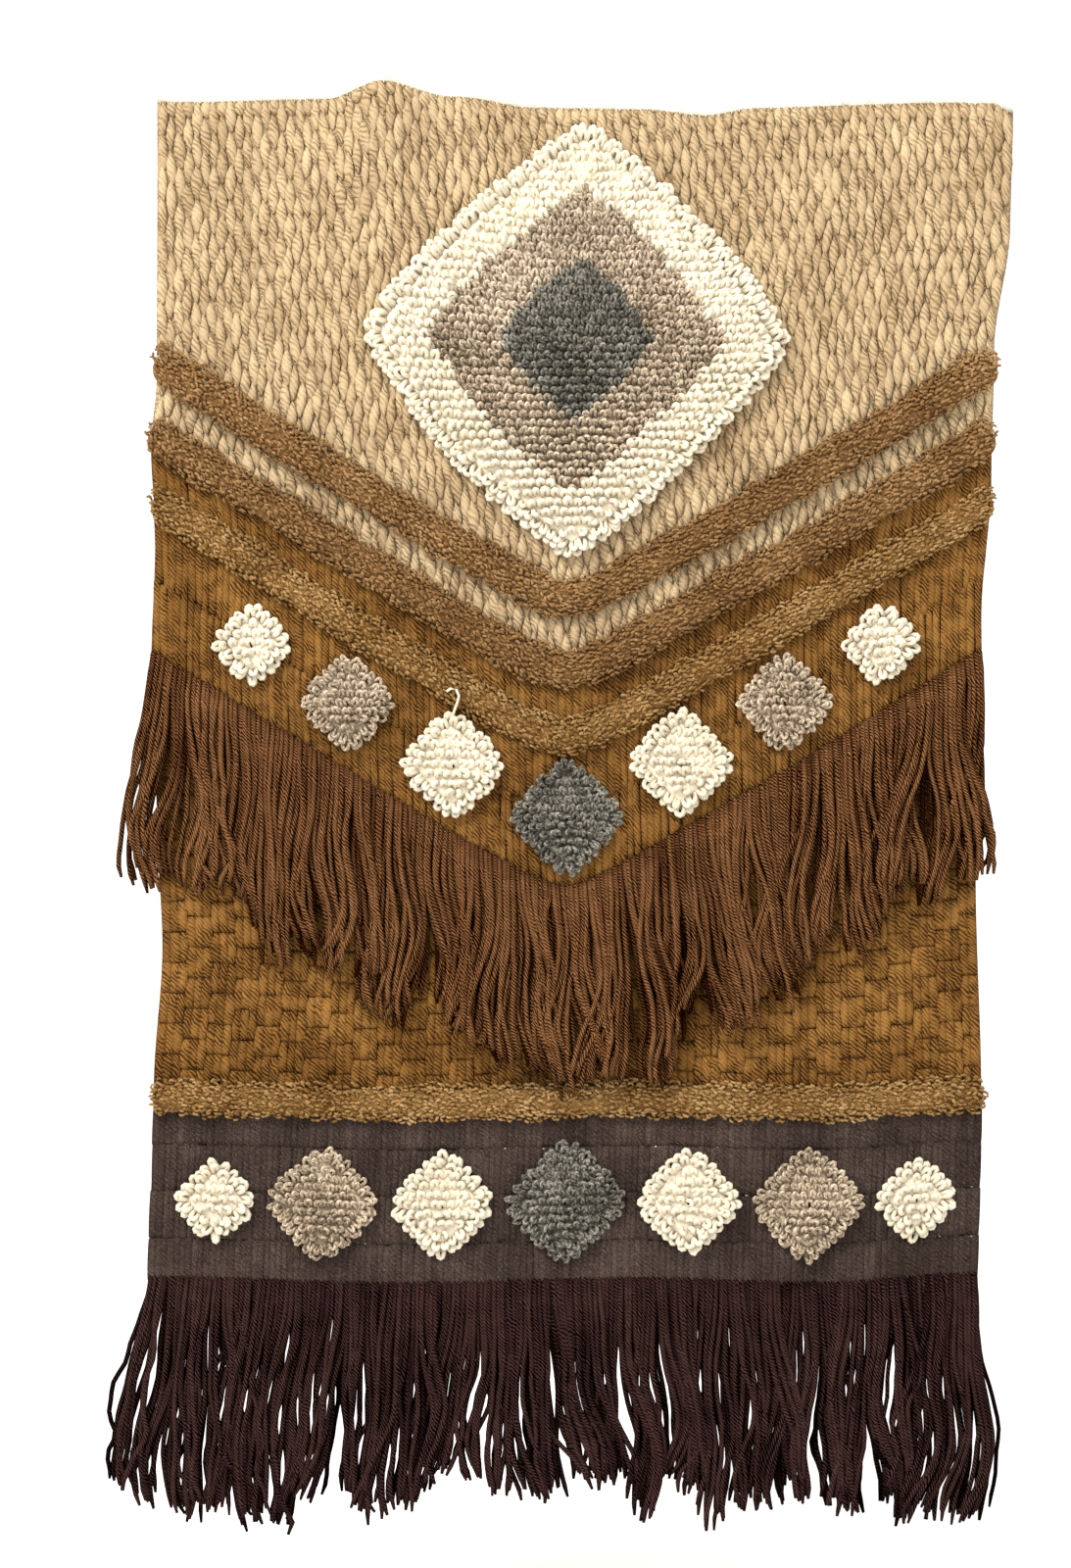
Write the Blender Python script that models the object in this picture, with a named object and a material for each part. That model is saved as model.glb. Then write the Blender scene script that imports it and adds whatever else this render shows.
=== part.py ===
"""A rya wall hanging: a needlework cloth with raised wool pile and two yarn fringes.

The cloth hangs in the X-Z plane and is seen from -Y. The origin is at the middle of its top edge, on the
plane that its back hangs against. All sizes are in metres. A place on the cloth is given as on the flat
cloth, by how far it lies across from the middle and down from the top, with its lift off the cloth's back,
and hang() carries it to the hanging cloth.
"""

import math
import random
from collections import namedtuple

import bmesh
import bpy
from mathutils import Vector, noise

CLOTH_WIDTH = 0.600
CLOTH_HEIGHT = 0.825
CLOTH_THICKNESS = 0.005
SEAT_GAP = 0.0005
NEST_GAP = 0.0004
HALF_WIDTH = CLOTH_WIDTH / 2
FACE_LIFT = CLOTH_THICKNESS + SEAT_GAP

# The cloth's cells across, with finer lines where the crease runs.
CELL_COLUMNS = 24
CREASE_LINES = (-0.1625, -0.1375)

Ground = namedtuple("Ground", "middle_foot edge_foot cell_rows yarn")

# The grounds of flat needlework from the top down, each with the line that it ends at.
GROUNDS = (
    Ground(middle_foot=0.395, edge_foot=0.220, cell_rows=13, yarn="sand_wool"),
    Ground(middle_foot=0.696, edge_foot=0.696, cell_rows=9, yarn="ochre_wool"),
    Ground(middle_foot=CLOTH_HEIGHT, edge_foot=CLOTH_HEIGHT, cell_rows=4, yarn="dark_brown_wool"),
)

EdgePoint = namedtuple("EdgePoint", "along rise")

# How high the top edge stands over its middle, for a place across the cloth.
TOP_EDGE = (
    EdgePoint(along=-0.300, rise=0.004),
    EdgePoint(along=-0.180, rise=0.008),
    EdgePoint(along=-0.143, rise=0.018),
    EdgePoint(along=-0.090, rise=0.009),
    EdgePoint(along=-0.035, rise=0.001),
    EdgePoint(along=0.045, rise=0.000),
    EdgePoint(along=0.085, rise=-0.004),
    EdgePoint(along=0.120, rise=0.001),
    EdgePoint(along=0.250, rise=0.004),
    EdgePoint(along=0.285, rise=0.003),
    EdgePoint(along=0.300, rise=-0.004),
)
TOP_EDGE_REACH = 0.300

# How high the foot stands over a level line, for a place across the cloth.
FOOT_EDGE = (
    EdgePoint(along=-0.300, rise=0.002),
    EdgePoint(along=-0.120, rise=-0.003),
    EdgePoint(along=0.060, rise=0.001),
    EdgePoint(along=0.180, rise=-0.002),
    EdgePoint(along=0.300, rise=0.004),
)

# How far each side stands out past the cloth's half width, for a place down the cloth.
LEFT_EDGE = (
    EdgePoint(along=0.000, rise=-0.001),
    EdgePoint(along=0.190, rise=0.000),
    EdgePoint(along=0.240, rise=0.004),
    EdgePoint(along=0.300, rise=0.001),
    EdgePoint(along=0.400, rise=0.004),
    EdgePoint(along=0.500, rise=0.000),
    EdgePoint(along=0.590, rise=-0.004),
    EdgePoint(along=0.690, rise=0.002),
    EdgePoint(along=0.840, rise=0.006),
)
RIGHT_EDGE = (
    EdgePoint(along=0.000, rise=0.000),
    EdgePoint(along=0.080, rise=-0.001),
    EdgePoint(along=0.170, rise=-0.012),
    EdgePoint(along=0.260, rise=-0.014),
    EdgePoint(along=0.360, rise=-0.021),
    EdgePoint(along=0.540, rise=-0.025),
    EdgePoint(along=0.700, rise=-0.021),
    EdgePoint(along=0.840, rise=-0.024),
)

Fold = namedtuple("Fold", "across down height half_width half_length")

# The crease under the top edge's peak with the hollow beside it, and the corners that curl forward.
FOLDS = (
    Fold(across=-0.143, down=0.000, height=0.012, half_width=0.022, half_length=0.080),
    Fold(across=-0.205, down=0.010, height=-0.004, half_width=0.035, half_length=0.075),
    Fold(across=0.310, down=0.000, height=0.009, half_width=0.050, half_length=0.070),
    Fold(across=-0.310, down=0.000, height=0.006, half_width=0.045, half_length=0.080),
    Fold(across=0.085, down=0.000, height=-0.003, half_width=0.050, half_length=0.050),
)
FOLD_BASE = 0.006
WAVE_HEIGHT = 0.003
WAVE_LENGTH = 0.520
WAVE_TOP_SHARE = 0.4

Band = namedtuple("Band", "name middle_down edge_down half_width height yarn")

# The pile bands: three chevrons that fall to the middle, and a level one over the dark border.
BANDS = (
    Band("pile_band_upper", 0.345, 0.170, 0.013, 0.011, "golden_pile_wool"),
    Band("pile_band_middle", 0.395, 0.220, 0.013, 0.011, "golden_pile_wool"),
    Band("pile_band_lower", 0.442, 0.267, 0.012, 0.010, "light_golden_pile_wool"),
    Band("pile_band_base", 0.696, 0.696, 0.012, 0.010, "light_golden_pile_wool"),
)
BAND_STATIONS = 37
BAND_OVERHANG = 0.006
BAND_END_SHARE = 0.6
CHEVRON_SOFTNESS = 0.020
SLOPE_STEP = 0.001

SectionPoint = namedtuple("SectionPoint", "place height")

# Across a band: place runs from -1 at one side to 1 at the other, and height is a share of the pile.
BAND_SECTION = (
    SectionPoint(place=-0.90, height=0.00),
    SectionPoint(place=-1.04, height=0.45),
    SectionPoint(place=-0.60, height=0.90),
    SectionPoint(place=0.00, height=1.00),
    SectionPoint(place=0.60, height=0.90),
    SectionPoint(place=1.04, height=0.45),
    SectionPoint(place=0.90, height=0.00),
)

# Across a lozenge: place runs from 0 at its outer edge to 1 at its inner edge, or at its middle.
FREE_RING = (
    SectionPoint(place=0.06, height=0.00),
    SectionPoint(place=-0.04, height=0.40),
    SectionPoint(place=0.14, height=0.88),
    SectionPoint(place=0.50, height=1.00),
    SectionPoint(place=0.90, height=0.92),
    SectionPoint(place=1.00, height=0.78),
    SectionPoint(place=1.00, height=0.00),
)
NESTED_RING = (
    SectionPoint(place=0.00, height=0.00),
    SectionPoint(place=0.00, height=0.78),
    SectionPoint(place=0.10, height=0.92),
    SectionPoint(place=0.50, height=1.00),
    SectionPoint(place=0.90, height=0.92),
    SectionPoint(place=1.00, height=0.78),
    SectionPoint(place=1.00, height=0.00),
)
FREE_DOME = (
    SectionPoint(place=0.06, height=0.00),
    SectionPoint(place=-0.04, height=0.40),
    SectionPoint(place=0.12, height=0.86),
    SectionPoint(place=0.45, height=1.00),
)
NESTED_DOME = (
    SectionPoint(place=0.00, height=0.00),
    SectionPoint(place=0.00, height=0.78),
    SectionPoint(place=0.14, height=0.92),
    SectionPoint(place=0.50, height=1.00),
)

LOZENGE_DOWN = 0.165
LOZENGE_HALF = 0.150
TAUPE_HALF = 0.106
CORE_HALF = 0.056
LOZENGE_PILE = 0.012
LOZENGE_POINTS = 44
SMALL_PILE = 0.010
SMALL_POINTS = 20
CORNER_SOFTNESS = 1.15
RIM_BUMP = 0.0014
RIM_SHARE = 0.2
LUMP_SHARE = 0.10
LUMP_PITCH = 0.014

Motif = namedtuple("Motif", "across half_size yarn")

# One half of each row of small lozenges, from the middle out. The other half mirrors it.
ROW_MIDDLE_DOWN = 0.498
ROW_EDGE_DOWN = 0.323
ROW_HALF = (
    Motif(across=0.000, half_size=0.041, yarn="charcoal_loop_wool"),
    Motif(across=0.083, half_size=0.037, yarn="cream_loop_wool"),
    Motif(across=0.158, half_size=0.034, yarn="taupe_loop_wool"),
    Motif(across=0.227, half_size=0.028, yarn="cream_loop_wool"),
)
BORDER_DOWN = 0.767
BORDER_HALF = (
    Motif(across=0.000, half_size=0.043, yarn="charcoal_loop_wool"),
    Motif(across=0.089, half_size=0.037, yarn="cream_loop_wool"),
    Motif(across=0.175, half_size=0.040, yarn="taupe_loop_wool"),
    Motif(across=0.253, half_size=0.029, yarn="cream_loop_wool"),
)

Fringe = namedtuple(
    "Fringe", "name middle_down edge_down top_lift front_lift back_lift hang_lift length yarn seed"
)

FRINGES = (
    Fringe(
        name="brown_fringe",
        middle_down=0.546,
        edge_down=0.371,
        top_lift=FACE_LIFT,
        front_lift=FACE_LIFT + 0.006,
        back_lift=FACE_LIFT,
        hang_lift=0.010,
        length=0.134,
        yarn="brown_fringe_wool",
        seed=4,
    ),
    Fringe(
        name="dark_fringe",
        middle_down=CLOTH_HEIGHT + SEAT_GAP,
        edge_down=CLOTH_HEIGHT + SEAT_GAP,
        top_lift=0.0030,
        front_lift=0.0070,
        back_lift=0.0010,
        hang_lift=0.0020,
        length=0.146,
        yarn="dark_fringe_wool",
        seed=9,
    ),
)
STRIP_HEIGHT = 0.007
LOCK_PAIRS = 55
LOCK_RADIUS = 0.0032
LOCK_ROW_DEPTH = 0.0065
LOCK_LENGTH_SPREAD = 0.015
CLUMP_LENGTHENING = 0.007
EDGE_LENGTHENING = 0.012

LockStep = namedtuple("LockStep", "share thickness")

# The rings down a lock of yarn, as shares of its length and of its full radius. It ends in a point.
LOCK_STEPS = (
    LockStep(share=0.09, thickness=0.90),
    LockStep(share=0.36, thickness=1.00),
    LockStep(share=0.66, thickness=1.00),
    LockStep(share=0.92, thickness=0.80),
)

# Locks draw together into clumps, lean a little to one side or the other, and spread at the cloth's sides.
CLUMP_PITCH = 0.078
CLUMP_PULL = 0.0034
LEAN_PITCH = 0.500
LEAN_START = 0.1
LEAN_REACH = 0.010
RIPPLE_PITCH = 0.210
RIPPLES = 1.3
RIPPLE_REACH = 0.0022
SPREAD_FROM = 0.225
SPREAD_REACH = 0.030

# Locks that fall over the base band are lifted over its pile.
PILE_CLEAR_FROM = 0.625
PILE_CLEAR_TO = 0.668
PILE_CLEAR_LIFT = 0.0115

YARNS = {
    "sand_wool": "d2b385",
    "ochre_wool": "875e31",
    "dark_brown_wool": "4b3a35",
    "golden_pile_wool": "99703f",
    "light_golden_pile_wool": "b48a52",
    "cream_loop_wool": "ece2c6",
    "taupe_loop_wool": "b09c85",
    "charcoal_loop_wool": "65625a",
    "brown_fringe_wool": "5e3b23",
    "dark_fringe_wool": "34211e",
}
WOOL_ROUGHNESS = 0.9
SHARP_ANGLE = 50


def clear_scene():
    for old in list(bpy.data.objects):
        bpy.data.objects.remove(old, do_unlink=True)


def smooth_step(share):
    share = min(max(share, 0.0), 1.0)
    return share * share * (3 - 2 * share)


def rise_at(edge, along):
    """The rise that an edge's table gives at a place, with a smooth run between its points."""
    if along <= edge[0].along:
        return edge[0].rise
    for near, far in zip(edge, edge[1:]):
        if along <= far.along:
            share = smooth_step((along - near.along) / (far.along - near.along))
            return near.rise + (far.rise - near.rise) * share
    return edge[-1].rise


def billow(across, down):
    """How far the back of the cloth stands off the plane behind it."""
    height = FOLD_BASE
    for fold in FOLDS:
        aside = (across - fold.across) / fold.half_width
        below = (down - fold.down) / fold.half_length
        height += fold.height * math.exp(-aside * aside - below * below)
    wave_share = WAVE_TOP_SHARE + (1 - WAVE_TOP_SHARE) * down / CLOTH_HEIGHT
    return height + WAVE_HEIGHT * wave_share * math.sin(math.tau * across / WAVE_LENGTH)


def hang(across, down, lift):
    """Carries a place on the flat cloth to the hanging cloth."""
    left = -HALF_WIDTH - rise_at(LEFT_EDGE, down)
    right = HALF_WIDTH + rise_at(RIGHT_EDGE, down)
    x = left + (right - left) * (0.5 + across / CLOTH_WIDTH)
    top_share = 1 - smooth_step(down / TOP_EDGE_REACH)
    foot_share = smooth_step(down / CLOTH_HEIGHT)
    rise = rise_at(TOP_EDGE, across) * top_share + rise_at(FOOT_EDGE, across) * foot_share
    return Vector((x, -billow(across, down) - lift, rise - down))


def chevron(middle_down, edge_down, across):
    """How far down a chevron's line lies, with a soft turn at its middle."""
    reach = math.hypot(across, CHEVRON_SOFTNESS) - CHEVRON_SOFTNESS
    return middle_down + (edge_down - middle_down) * reach / HALF_WIDTH


def lumpy(place):
    """A share near 1 that rises and falls from tuft to tuft."""
    return 1 + LUMP_SHARE * noise.noise(place / LUMP_PITCH)


def wool(yarn):
    """The material of one yarn, made on its first use."""
    found = bpy.data.materials.get(yarn)
    if found:
        return found
    channels = [int(YARNS[yarn][start : start + 2], 16) / 255 for start in (0, 2, 4)]
    linear = [((value + 0.055) / 1.055) ** 2.4 for value in channels]
    material = bpy.data.materials.new(yarn)
    material.use_nodes = True
    shader = material.node_tree.nodes["Principled BSDF"]
    shader.inputs["Base Color"].default_value = (*linear, 1)
    shader.inputs["Roughness"].default_value = WOOL_ROUGHNESS
    shader.inputs["Metallic"].default_value = 0
    return material


def finish_object(name, bm, yarns, anchor, hanger):
    """Makes a named object of a mesh in world space, placed by its anchor under the hanger."""
    bmesh.ops.translate(bm, verts=bm.verts, vec=-anchor)
    mesh = bpy.data.meshes.new(name)
    bm.to_mesh(mesh)
    bm.free()
    for yarn in yarns:
        mesh.materials.append(wool(yarn))
    mesh.shade_smooth()
    mesh.set_sharp_from_angle(angle=math.radians(SHARP_ANGLE))
    piece = bpy.data.objects.new(name, mesh)
    piece.location = anchor
    piece.parent = hanger
    bpy.context.scene.collection.objects.link(piece)
    return piece


def loft(bm, rings, closed):
    """Joins rings of vertices with faces, and either closes the row of rings or caps its two ends."""
    pairs = list(zip(rings, rings[1:]))
    if closed:
        pairs.append((rings[-1], rings[0]))
    for first, second in pairs:
        for i in range(len(first)):
            j = (i + 1) % len(first)
            bm.faces.new((first[i], first[j], second[j], second[i]))
    if not closed:
        bm.faces.new(rings[0])
        bm.faces.new(rings[-1])
    bmesh.ops.recalc_face_normals(bm, faces=bm.faces)


def cloth_lines():
    """The cloth's lines of cells from the top down: each line's place, and the ground over it."""
    lines = [(0.0, 0.0, 0)]
    for number, ground in enumerate(GROUNDS):
        middle, edge, _ = lines[-1]
        for row in range(1, ground.cell_rows + 1):
            share = row / ground.cell_rows
            middle_down = middle + (ground.middle_foot - middle) * share
            edge_down = edge + (ground.edge_foot - edge) * share
            lines.append((middle_down, edge_down, number))
    return lines


def make_cloth(hanger):
    """The needlework cloth: its front is a grid, and its thickness grows back from there."""
    columns = [CLOTH_WIDTH * i / CELL_COLUMNS - HALF_WIDTH for i in range(CELL_COLUMNS + 1)]
    columns = sorted(columns + list(CREASE_LINES))
    bm = bmesh.new()
    upper = None
    for middle_down, edge_down, ground_number in cloth_lines():
        lower = []
        for across in columns:
            down = chevron(middle_down, edge_down, across)
            lower.append(bm.verts.new(hang(across, down, CLOTH_THICKNESS)))
        if upper:
            for i in range(len(columns) - 1):
                cell = bm.faces.new((upper[i], lower[i], lower[i + 1], upper[i + 1]))
                cell.material_index = ground_number
        upper = lower
    cloth = finish_object("panel", bm, [ground.yarn for ground in GROUNDS], hang(0, 0, 0), hanger)
    solid = cloth.modifiers.new("cloth thickness", "SOLIDIFY")
    solid.thickness = CLOTH_THICKNESS
    solid.offset = -1


def make_band(band, hanger):
    """A pile band: its section runs along its line, lumpy from tuft to tuft, with drawn-in round ends."""
    bm = bmesh.new()
    rings = []
    reach = HALF_WIDTH + BAND_OVERHANG
    for station in range(BAND_STATIONS):
        across = reach * (2 * station / (BAND_STATIONS - 1) - 1)
        down = chevron(band.middle_down, band.edge_down, across)
        ahead = chevron(band.middle_down, band.edge_down, across + SLOPE_STEP) - down
        aside = Vector((-ahead, SLOPE_STEP)).normalized()
        at_end = station in (0, BAND_STATIONS - 1)
        size = BAND_END_SHARE if at_end else 1
        half_width = band.half_width * size + RIM_BUMP * (-1) ** station
        ring = []
        for point in BAND_SECTION:
            offset = aside * point.place * half_width
            place = Vector((across + offset.x, down + offset.y, point.height))
            height = point.height * band.height * size * lumpy(place)
            ring.append(bm.verts.new(hang(place.x, place.y, FACE_LIFT + height)))
        rings.append(ring)
    loft(bm, rings, closed=False)
    anchor = hang(0, chevron(band.middle_down, band.edge_down, 0), FACE_LIFT)
    finish_object(band.name, bm, [band.yarn], anchor, hanger)


def lozenge_ring(bm, middle, outer, inner, points, section_point, pile, free):
    """One ring of vertices round a lozenge with soft corners. A free rim is bumpy with its loops."""
    radius = outer + (inner - outer) * section_point.place
    bump = RIM_BUMP if free and section_point.place < RIM_SHARE else 0
    ring = []
    for i in range(points):
        angle = math.tau * i / points
        across_share = math.cos(angle)
        down_share = math.sin(angle)
        spread = abs(across_share) ** CORNER_SOFTNESS + abs(down_share) ** CORNER_SOFTNESS
        reach = (radius + bump * (-1) ** i) / spread ** (1 / CORNER_SOFTNESS)
        place = Vector((middle.x + reach * across_share, middle.y + reach * down_share, section_point.height))
        lift = FACE_LIFT + section_point.height * pile * lumpy(place)
        ring.append(bm.verts.new(hang(place.x, place.y, lift)))
    return ring


def make_ring(name, outer, inner, section, yarn, hanger):
    """One ring of the large lozenge, open in the middle for the next."""
    bm = bmesh.new()
    middle = Vector((0, LOZENGE_DOWN))
    free = section is FREE_RING
    rings = [
        lozenge_ring(bm, middle, outer, inner, LOZENGE_POINTS, point, LOZENGE_PILE, free)
        for point in section
    ]
    loft(bm, rings, closed=True)
    finish_object(name, bm, [yarn], hang(middle.x, middle.y, FACE_LIFT), hanger)


def make_dome(name, motif, down, points, section, pile, hanger):
    """A filled lozenge of pile with a lumpy crown."""
    bm = bmesh.new()
    middle = Vector((motif.across, down))
    free = section is FREE_DOME
    rings = [lozenge_ring(bm, middle, motif.half_size, 0, points, point, pile, free) for point in section]
    foot = bm.verts.new(hang(middle.x, middle.y, FACE_LIFT))
    crown = bm.verts.new(hang(middle.x, middle.y, FACE_LIFT + pile))
    for i in range(points):
        j = (i + 1) % points
        bm.faces.new((rings[0][i], rings[0][j], foot))
        bm.faces.new((rings[-1][i], rings[-1][j], crown))
        for lower, upper in zip(rings, rings[1:]):
            bm.faces.new((lower[i], lower[j], upper[j], upper[i]))
    bmesh.ops.recalc_face_normals(bm, faces=bm.faces)
    finish_object(name, bm, [motif.yarn], hang(middle.x, middle.y, FACE_LIFT), hanger)


def make_row(prefix, half_row, middle_down, edge_down, hanger):
    """A row of small lozenges, numbered from left to right."""
    mirrored = [motif._replace(across=-motif.across) for motif in half_row[:0:-1]]
    for number, motif in enumerate(mirrored + list(half_row), start=1):
        down = chevron(middle_down, edge_down, motif.across)
        make_dome(f"{prefix}_{number}", motif, down, SMALL_POINTS, FREE_DOME, SMALL_PILE, hanger)


def lock_place(fringe, across, root_down, share, length, in_front):
    """The middle of a lock of yarn at a share of its length."""
    down = root_down + length * share
    clump = -CLUMP_PULL * math.sin(math.tau * across / CLUMP_PITCH)
    lean = LEAN_REACH * math.sin(math.tau * (across / LEAN_PITCH + LEAN_START))
    ripple = RIPPLE_REACH * math.sin(math.tau * (across / RIPPLE_PITCH + RIPPLES * share))
    beyond = max(abs(across) - SPREAD_FROM, 0) / (HALF_WIDTH - SPREAD_FROM)
    spread = math.copysign(SPREAD_REACH * beyond * beyond, across)
    aside = (clump + lean + spread) * smooth_step(share) + ripple * share
    cover = smooth_step((down - PILE_CLEAR_FROM) / (PILE_CLEAR_TO - PILE_CLEAR_FROM))
    lift = fringe.hang_lift + (LOCK_ROW_DEPTH if in_front else 0)
    if down < CLOTH_HEIGHT:
        lift += PILE_CLEAR_LIFT * cover
    return hang(across + aside, down, lift)


def even_turns(face):
    """The angles of a lock's corners round its middle, seen from above and evened out."""
    centre = face.calc_center_median()
    turns = [math.atan2(vert.co.y - centre.y, vert.co.x - centre.x) for vert in face.verts]
    sense = 1 if (turns[1] - turns[0]) % math.tau < math.pi else -1
    return [turns[0] + sense * math.tau * i / len(turns) for i in range(len(turns))]


def grow_lock(bm, face, fringe, across, root_down, length, in_front):
    """Draws one lock of yarn out of its face on the strip, ring by ring, to a point."""
    for step in LOCK_STEPS:
        middle = lock_place(fringe, across, root_down, step.share, length, in_front)
        face = bmesh.ops.extrude_discrete_faces(bm, faces=[face])["faces"][0]
        radius = LOCK_RADIUS * step.thickness
        for vert, turn in zip(face.verts, even_turns(face)):
            vert.co = middle + Vector((radius * math.cos(turn), radius * math.sin(turn), 0))
    face = bmesh.ops.extrude_discrete_faces(bm, faces=[face])["faces"][0]
    tip = lock_place(fringe, across, root_down, 1.0, length, in_front)
    bmesh.ops.pointmerge(bm, verts=list(face.verts), merge_co=tip)


def make_fringe(fringe, hanger):
    """A narrow strip with locks of yarn that hang from its under side in a front and a back row."""
    bm = bmesh.new()
    tops, fronts, backs = [], [], []
    for i in range(LOCK_PAIRS + 1):
        across = CLOTH_WIDTH * (i / LOCK_PAIRS - 0.5)
        down = chevron(fringe.middle_down, fringe.edge_down, across)
        tops.append(bm.verts.new(hang(across, down, fringe.top_lift)))
        fronts.append(bm.verts.new(hang(across, down + STRIP_HEIGHT, fringe.front_lift)))
        backs.append(bm.verts.new(hang(across, down + STRIP_HEIGHT, fringe.back_lift)))
    roots = []
    for i in range(LOCK_PAIRS):
        bm.faces.new((tops[i], fronts[i], fronts[i + 1], tops[i + 1]))
        bm.faces.new((backs[i], tops[i], tops[i + 1], backs[i + 1]))
        roots.append((i + 0.25, True, bm.faces.new((fronts[i + 1], fronts[i], backs[i]))))
        roots.append((i + 0.75, False, bm.faces.new((backs[i], backs[i + 1], fronts[i + 1]))))
    bm.faces.new((tops[0], backs[0], fronts[0]))
    bm.faces.new((tops[-1], fronts[-1], backs[-1]))
    draw = random.Random(fringe.seed)
    for place, in_front, root in roots:
        across = CLOTH_WIDTH * (place / LOCK_PAIRS - 0.5)
        root_down = chevron(fringe.middle_down, fringe.edge_down, across) + STRIP_HEIGHT
        length = fringe.length + draw.uniform(-1, 1) * LOCK_LENGTH_SPREAD
        length -= CLUMP_LENGTHENING * math.cos(math.tau * across / CLUMP_PITCH)
        length += EDGE_LENGTHENING * abs(across) / HALF_WIDTH
        grow_lock(bm, root, fringe, across, root_down, length, in_front)
    bmesh.ops.recalc_face_normals(bm, faces=bm.faces)
    anchor = hang(0, fringe.middle_down, fringe.top_lift)
    finish_object(fringe.name, bm, [fringe.yarn], anchor, hanger)


def main():
    clear_scene()
    hanger = bpy.data.objects.new("hanger", None)
    bpy.context.scene.collection.objects.link(hanger)
    make_cloth(hanger)
    for band in BANDS:
        make_band(band, hanger)
    make_ring("lozenge_cream", LOZENGE_HALF, TAUPE_HALF + NEST_GAP, FREE_RING, "cream_loop_wool", hanger)
    make_ring("lozenge_taupe", TAUPE_HALF, CORE_HALF + NEST_GAP, NESTED_RING, "taupe_loop_wool", hanger)
    core = Motif(across=0, half_size=CORE_HALF, yarn="charcoal_loop_wool")
    make_dome("lozenge_charcoal", core, LOZENGE_DOWN, LOZENGE_POINTS, NESTED_DOME, LOZENGE_PILE, hanger)
    make_row("row_lozenge", ROW_HALF, ROW_MIDDLE_DOWN, ROW_EDGE_DOWN, hanger)
    make_row("border_lozenge", BORDER_HALF, BORDER_DOWN, BORDER_DOWN, hanger)
    for fringe in FRINGES:
        make_fringe(fringe, hanger)


main()
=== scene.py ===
"""The looks of a rya wall hanging: wool needlework on canvas, with loop pile, pile bands and two fringes.

A place on the cloth is given as on the flat cloth, by how far it lies across from the middle and down from
the top, with its lift off the cloth's back. hang() carries it to the hanging cloth, in metres.
"""

import math

import bpy
import numpy as np
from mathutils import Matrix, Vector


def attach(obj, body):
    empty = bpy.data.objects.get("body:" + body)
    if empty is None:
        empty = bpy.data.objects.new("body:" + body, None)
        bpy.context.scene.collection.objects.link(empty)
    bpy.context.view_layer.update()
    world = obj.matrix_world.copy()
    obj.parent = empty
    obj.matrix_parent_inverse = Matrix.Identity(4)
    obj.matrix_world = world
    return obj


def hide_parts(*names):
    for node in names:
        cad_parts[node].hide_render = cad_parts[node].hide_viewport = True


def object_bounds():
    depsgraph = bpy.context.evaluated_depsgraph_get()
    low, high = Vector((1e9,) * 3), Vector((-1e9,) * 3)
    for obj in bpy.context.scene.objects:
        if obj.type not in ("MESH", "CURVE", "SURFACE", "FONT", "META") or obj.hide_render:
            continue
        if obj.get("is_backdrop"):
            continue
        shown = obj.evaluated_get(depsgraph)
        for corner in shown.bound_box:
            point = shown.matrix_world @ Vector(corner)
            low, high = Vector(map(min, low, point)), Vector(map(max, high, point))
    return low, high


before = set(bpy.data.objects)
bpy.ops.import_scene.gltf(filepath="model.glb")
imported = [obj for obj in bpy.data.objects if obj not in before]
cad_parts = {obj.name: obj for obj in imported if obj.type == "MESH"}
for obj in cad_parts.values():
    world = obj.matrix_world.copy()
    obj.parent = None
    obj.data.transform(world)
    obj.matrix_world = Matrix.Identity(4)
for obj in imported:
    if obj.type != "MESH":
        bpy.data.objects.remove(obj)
packed_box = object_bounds()

# The camera
# The photograph is taken square on to the cloth, with the middle of the top edge a little right of the
# picture's middle. Its frame is 1093 by 1600 pixels.
mm = 0.001
FRAME_PIXELS = (1093, 1600)
TOP_MIDDLE_PIXEL = (596, 112)
PIXEL_SIZE = 0.690 * mm
CAMERA_DISTANCE = 2.4
SENSOR_LONG_SIDE = 36.0

camera = bpy.data.objects.new("camera", bpy.data.cameras.new("camera"))
bpy.context.scene.collection.objects.link(camera)
camera.data.sensor_width = SENSOR_LONG_SIDE
camera.data.lens = SENSOR_LONG_SIDE * CAMERA_DISTANCE / (FRAME_PIXELS[1] * PIXEL_SIZE)
camera.location = (
    (FRAME_PIXELS[0] / 2 - TOP_MIDDLE_PIXEL[0]) * PIXEL_SIZE,
    -CAMERA_DISTANCE,
    -(FRAME_PIXELS[1] / 2 - TOP_MIDDLE_PIXEL[1]) * PIXEL_SIZE,
)
camera.rotation_euler = (math.radians(90), 0, 0)
bpy.context.scene.camera = camera


# The studio
# A pale painted floor a little below the fringe, a white room round it, and a large soft lamp high on the
# left with a weaker one on the right, so that stitches and pile throw soft shadows down and to the right.
FLOOR_DOWN = 1.09
FLOOR_SIZE = 14.0
STIPPLE_SIZE = 35 * mm
FLOOR_WHITE = "fbfaf8"
ROOM_WHITE = "ffffff"
ROOM_STRENGTH = 1.2
# Each lamp's name, place, width in metres, and power in watts.
LAMPS = (
    ("high_lamp", (-1.3, -1.9, 1.5), 1.1, 115.0),
    ("side_lamp", (1.9, -2.1, 0.2), 1.6, 14.0),
)
LAMP_AIM = (0.0, 0.0, -0.5)


def linear(hex_colour):
    """The linear colour of an sRGB hex value."""
    channels = [int(hex_colour[start : start + 2], 16) / 255 for start in (0, 2, 4)]
    return (*[c / 12.92 if c <= 0.04045 else ((c + 0.055) / 1.055) ** 2.4 for c in channels], 1)


def set_inputs(node, inputs):
    """Gives inputs of a node a value each, or links them from a socket or from a node's first output."""
    for socket, value in inputs.items():
        if isinstance(value, bpy.types.Node):
            value = value.outputs[0]
        if isinstance(value, bpy.types.NodeSocket):
            node.id_data.links.new(value, node.inputs[socket])
        else:
            node.inputs[socket].default_value = value


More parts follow.
